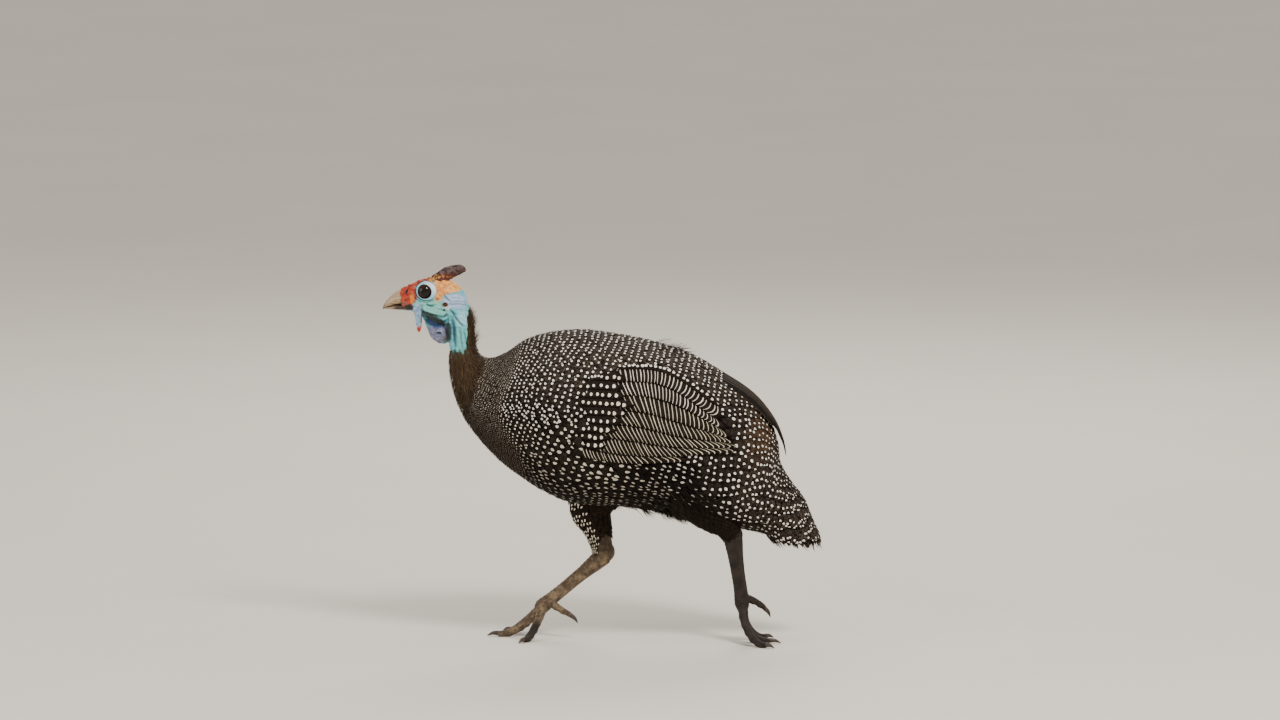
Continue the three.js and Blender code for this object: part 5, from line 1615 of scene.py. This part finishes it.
def bill_horn():
    s = Shader("bill_horn", 0.45)
    streak = s.noise(s.place((0.25, 1, 1)), 0.6, 4.0)
    color = s.mix(s.span(streak, 0.3, 0.7), (0.27, 0.18, 0.10), (0.43, 0.31, 0.18))
    for patch in (
        ((0.045, 0.022, 0.013), -196, 337, 11, 4.5, 0.35, 0.3),
        ((0.02, 0.012, 0.008), -199, 340, 8, 0.75, 0.5, 0.1, 0.05, 0.85),
        ((0.02, 0.012, 0.008), -210, 338.3, 7, 0.75, 0.5, 0.1, -0.2, 0.85),
        ((0.16, 0.11, 0.07), -218, 336, 6, 6, 0.5, 0.2, 0, 0.6),
    ):
        color = s.dab(color, *patch)
    s.bump(streak, 0.15)
    s.bump(s.noise(s.place(), 1.8), 0.08)
    return s.done(color, s.span(streak, 0.0, 1.0, 0.3, 0.5))


def eye_glass():
    s = Shader("eye", 0.2)
    grain = s.noise(s.place(), 1.4)
    iris = s.mix(s.span(grain, 0.3, 0.7), (0.008, 0.0025, 0.002), (0.03, 0.007, 0.004))
    color = s.dab((0.012, 0.008, 0.008), iris, EYE["x"], EYE["z"], 6.2, 6.2, 0.1)
    color = s.dab(color, (0.003, 0.003, 0.003), EYE["x"] + 0.2, EYE["z"], 4.1, 4.1, 0.05)
    s.bsdf.inputs["Coat Weight"].default_value = 0.15
    s.bsdf.inputs["Coat Roughness"].default_value = 0.03
    return s.done(color, s.span(grain, 0.0, 1.0, 0.08, 0.14))


def claw_horn():
    s = Shader("claw_horn", 0.4)
    tone = s.noise(s.place(), 0.6)
    s.bump(tone, 0.1)
    color = s.mix(tone, (0.016, 0.012, 0.01), (0.07, 0.05, 0.036))
    return s.done(color, s.span(tone, 0.0, 1.0, 0.35, 0.5))


def leg_forms(leg):
    shin = [[x, y, z, d - skin, w - skin] for (x, y, z, d, w), skin in zip(leg["shin"], SHIN_DEPTHS)]
    forms = [lofted(limb, leg["shank"], 60, 32), lofted(limb, shin, 40, 32, start=1.2)]
    forms.append(ball(leg["hock"], HOCK_RADII))
    for toe, points in leg["toes"].items():
        forms.append(lofted(limb, [[*p, r, r] for p, r in zip(points, TOE_RADII[toe])], 40, 20))
    return forms


def leg_relief(points, tris, leg):
    """Scutes across the front of the shank and along the top of the toes, small scales elsewhere."""
    lines = []
    for k, rows in enumerate([leg["shank"], *leg["toes"].values()]):
        centre = between([row[:3] for row in rows], np.linspace(0, len(rows) - 1, 90))
        run = np.append(0, np.cumsum(np.linalg.norm(np.diff(centre, axis=0), axis=-1)))
        way = unit(np.gradient(centre, axis=0))
        top = unit(np.cross(np.cross(way, [0, 0, 1.0] if k else [-1.0, 0, 0.3]), way))
        lines.append(np.column_stack([centre, top, run, np.full(90, k)]))
    lines = np.vstack(lines)
    nearest = np.zeros(len(points), int)
    for start in range(0, len(points), 4000):
        part = points[start : start + 4000]
        nearest[start : start + 4000] = np.argmin(((part[:, None] - lines[:, :3]) ** 2).sum(-1), axis=1)
    centre, top, (run, kind) = lines[nearest, :3], lines[nearest, 3:6], lines[nearest, 6:].T
    facing_top = (unit(points - centre) * top).sum(-1)
    saw = (run / np.where(kind == 0, 4.4, 2.7) + 0.12 * noise(points, 6, 12)) % 1
    plate = smoothstep(0.0, 0.22, saw) * smoothstep(1.0, 0.8, saw)
    front = smoothstep(0.15, 0.55, facing_top)
    height = front * (0.42 * plate - 0.2) + 0.10 * noise(points, 1.3, 13) * (1 - front)
    pad = smoothstep(-0.2, -0.7, facing_top) * (kind > 0)
    height += pad * 0.35 * np.sin(run * 0.75) * (points[:, 2] > 1.5)
    moved = points + normals(points, tris) * height[:, None]
    moved[:, 2] = np.maximum(moved[:, 2], 0.0)
    return moved


BLUE_SKIN = bare_skin()
LEG_SKIN = leg_skin()
UNDER_SKIN = feathered_skin()


def under_coat(place, angle):
    return raised(trunk, place, angle, np.full(np.shape(place), -COAT_DEPTH))


def skin():
    points, tris = remeshed(head_forms(), HEAD_VOXEL, 3)
    head_points = head_relief(points, tris)
    parts = [(head_points, tris), loft(under_coat, np.linspace(-1.2, 19.3, 150), 72)]
    for leg in LEGS.values():
        points, tris = remeshed(leg_forms(leg), LEG_VOXEL, 2)
        parts.append((leg_relief(points, tris, leg), tris))
    obj = make("skin", *joined(parts), BLUE_SKIN)
    obj.data.materials.append(UNDER_SKIN)
    obj.data.materials.append(LEG_SKIN)
    shade = obj.data.attributes.new("shade", "FLOAT_COLOR", "POINT")
    dark = np.zeros((len(obj.data.vertices), 4), np.float32)
    # The shade attribute's red carries the painted shade in the head's creases
    dark[: len(head_points), 0] = creases(head_points)[1]
    shade.data.foreach_set("color", dark.ravel())
    kinds = np.repeat([0, 1, 2, 2], [len(tris) for _, tris in parts]).astype(np.int32)
    obj.data.polygons.foreach_set("material_index", kinds)
    return finished(obj, "blue_skin", "head", "neck_upper", "throat_fold", "wattle_left", "wattle_right")


def casque():
    points, tris = lofted(section, CASQUE, 84, 44)
    rough = 0.22 * noise(points, 2.6, 20) + 0.12 * noise(points, 1.2, 21)
    rough = rough + 0.5 * np.maximum(noise(points, 5.5, 22), 0)
    rough = rough + 0.7 * np.maximum(noise(points, 2.2, 23), 0) * smoothstep(371, 366, points[:, 2])
    points = points + normals(points, tris) * rough[:, None]
    return finished(make("casque_horn", points, tris, casque_bone()), "casque_bone", "casque")


def bill():
    def upper(p, a):
        at = section(BILL_UPPER, p, a)
        at[..., 1] *= 1 - 0.18 * np.maximum(np.cos(a), 0)
        at[..., 2] += 0.22 * np.maximum(np.cos(a), 0) ** 6
        return at

    horn = bill_horn()
    halves = {"upper": loft(upper, np.linspace(0, 5, 60), 40), "lower": lofted(section, BILL_LOWER, 50, 36)}
    for (name, (points, tris)), rough, seed in zip(halves.items(), (0.06, 0.05), (30, 31)):
        points = points + normals(points, tris) * (rough * noise(points, 2.0, seed))[:, None]
        finished(make(f"bill_{name}_horn", points, tris, horn), "bill_horn", "bill_" + name)


def eyes():
    glass = eye_glass()
    radius = EYE["radius"] - 0.3
    for name, side in SIDES.items():
        points, tris = ball((EYE["x"], side * EYE["y"], EYE["z"]), (radius, EYE["bulge"] + 0.1, radius), 40)
        finished(make("eyeball_" + name, points, tris, glass), "eye", "eye_" + name)


def claws():
    horn = claw_horn()
    for name, leg in LEGS.items():
        for toe, rows in leg["claws"].items():
            full = [[*p, r, r * CLAW_FLATNESS] for p, r in zip(rows, CLAW_RADII)]
            points, tris = lofted(limb, full, 26, 18)
            points[:, 2] = np.maximum(points[:, 2], 0)
            label = f"claw_{name}_{toe}"
            finished(make(label + "_horn", points, tris, horn), "claw_horn", label)


skin_piece = skin()
casque()
bill()
eyes()
claws()
build(body_coat(), "torso")
build([neck_coat()], "neck_lower")
build([nape_bristles()])
for name, side in SIDES.items():
    build(wing_coat(name, side), "wing_" + name)
    primaries_coat(name, side).build("flight_feather", "primaries_" + name)
    build(shin_coat(name, LEGS[name]), "leg_" + name)
build([tail_coat()], "tail")
build([belly_coat(), back_tuft(), tail_fringe()])
for name in SIDES:
    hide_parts("shank_" + name, "foot_" + name)


# The room: a pale floor, soft light and the photograph's view
VIEW = {"x": 40.0, "y": 0.0, "z": 283.8, "distance": 12.0, "elevation": 8.0, "lens": 337.5}
FLOOR_HALF = 9000.0


def area(name, place, aim, size, power, color):
    light = bpy.data.lights.new(name, "AREA")
    light.shape = "DISK"
    light.size = size
    light.energy = power
    light.color = color
    obj = bpy.data.objects.new(name, light)
    bpy.context.scene.collection.objects.link(obj)
    obj.location = place
    way = np.array(aim) - np.array(place)
    down_angle = math.acos(max(-1, min(1, -way[2] / np.linalg.norm(way))))
    obj.rotation_euler = (down_angle, 0, math.atan2(way[1], way[0]) - math.pi / 2)


def room():
    s = Shader("floor", 0.2)
    tone = s.noise(s.place(), 0.004)
    pale = s.done(s.mix(tone, (0.66, 0.62, 0.56), (0.72, 0.68, 0.62)), 0.85)
    corners = FLOOR_HALF * np.array([[-1, -1, 0], [1, -1, 0], [1, 1, 0], [-1, 1, 0]])
    floor = make("floor", corners, np.array([[0, 1, 2], [0, 2, 3]]), pale, False)
    floor.location.z = -0.0002
    world = bpy.data.worlds.new("studio")
    bpy.context.scene.world = world
    world.use_nodes = True
    sky = world.node_tree.nodes["Background"]
    sky.inputs["Color"].default_value = (0.95, 0.9, 0.82, 1)
    sky.inputs["Strength"].default_value = 0.8
    area("key", (0.9, -1.6, 2.1), (0.0, 0, 0.2), 0.7, 62, (1, 0.96, 0.9))
    area("fill", (-1.8, -1.3, 1.0), (-0.1, 0, 0.25), 1.4, 16, (0.95, 0.97, 1))
    area("back", (0.3, 1.8, 1.6), (0, 0, 0.25), 1.2, 26, (1, 0.97, 0.92))


def camera():
    lens = bpy.data.cameras.new("camera")
    lens.lens = VIEW["lens"]
    lens.sensor_width = 36
    lens.clip_start = 0.1
    lens.clip_end = 60
    obj = bpy.data.objects.new("camera", lens)
    bpy.context.scene.collection.objects.link(obj)
    tilt = math.radians(VIEW["elevation"])
    x, y, z = (VIEW["x"] + SHIFT) * MM, VIEW["y"] * MM, VIEW["z"] * MM
    obj.location = (x, y - VIEW["distance"] * math.cos(tilt), z + VIEW["distance"] * math.sin(tilt))
    obj.rotation_euler = (math.pi / 2 - tilt, 0, 0)
    bpy.context.scene.camera = obj


room()
camera()
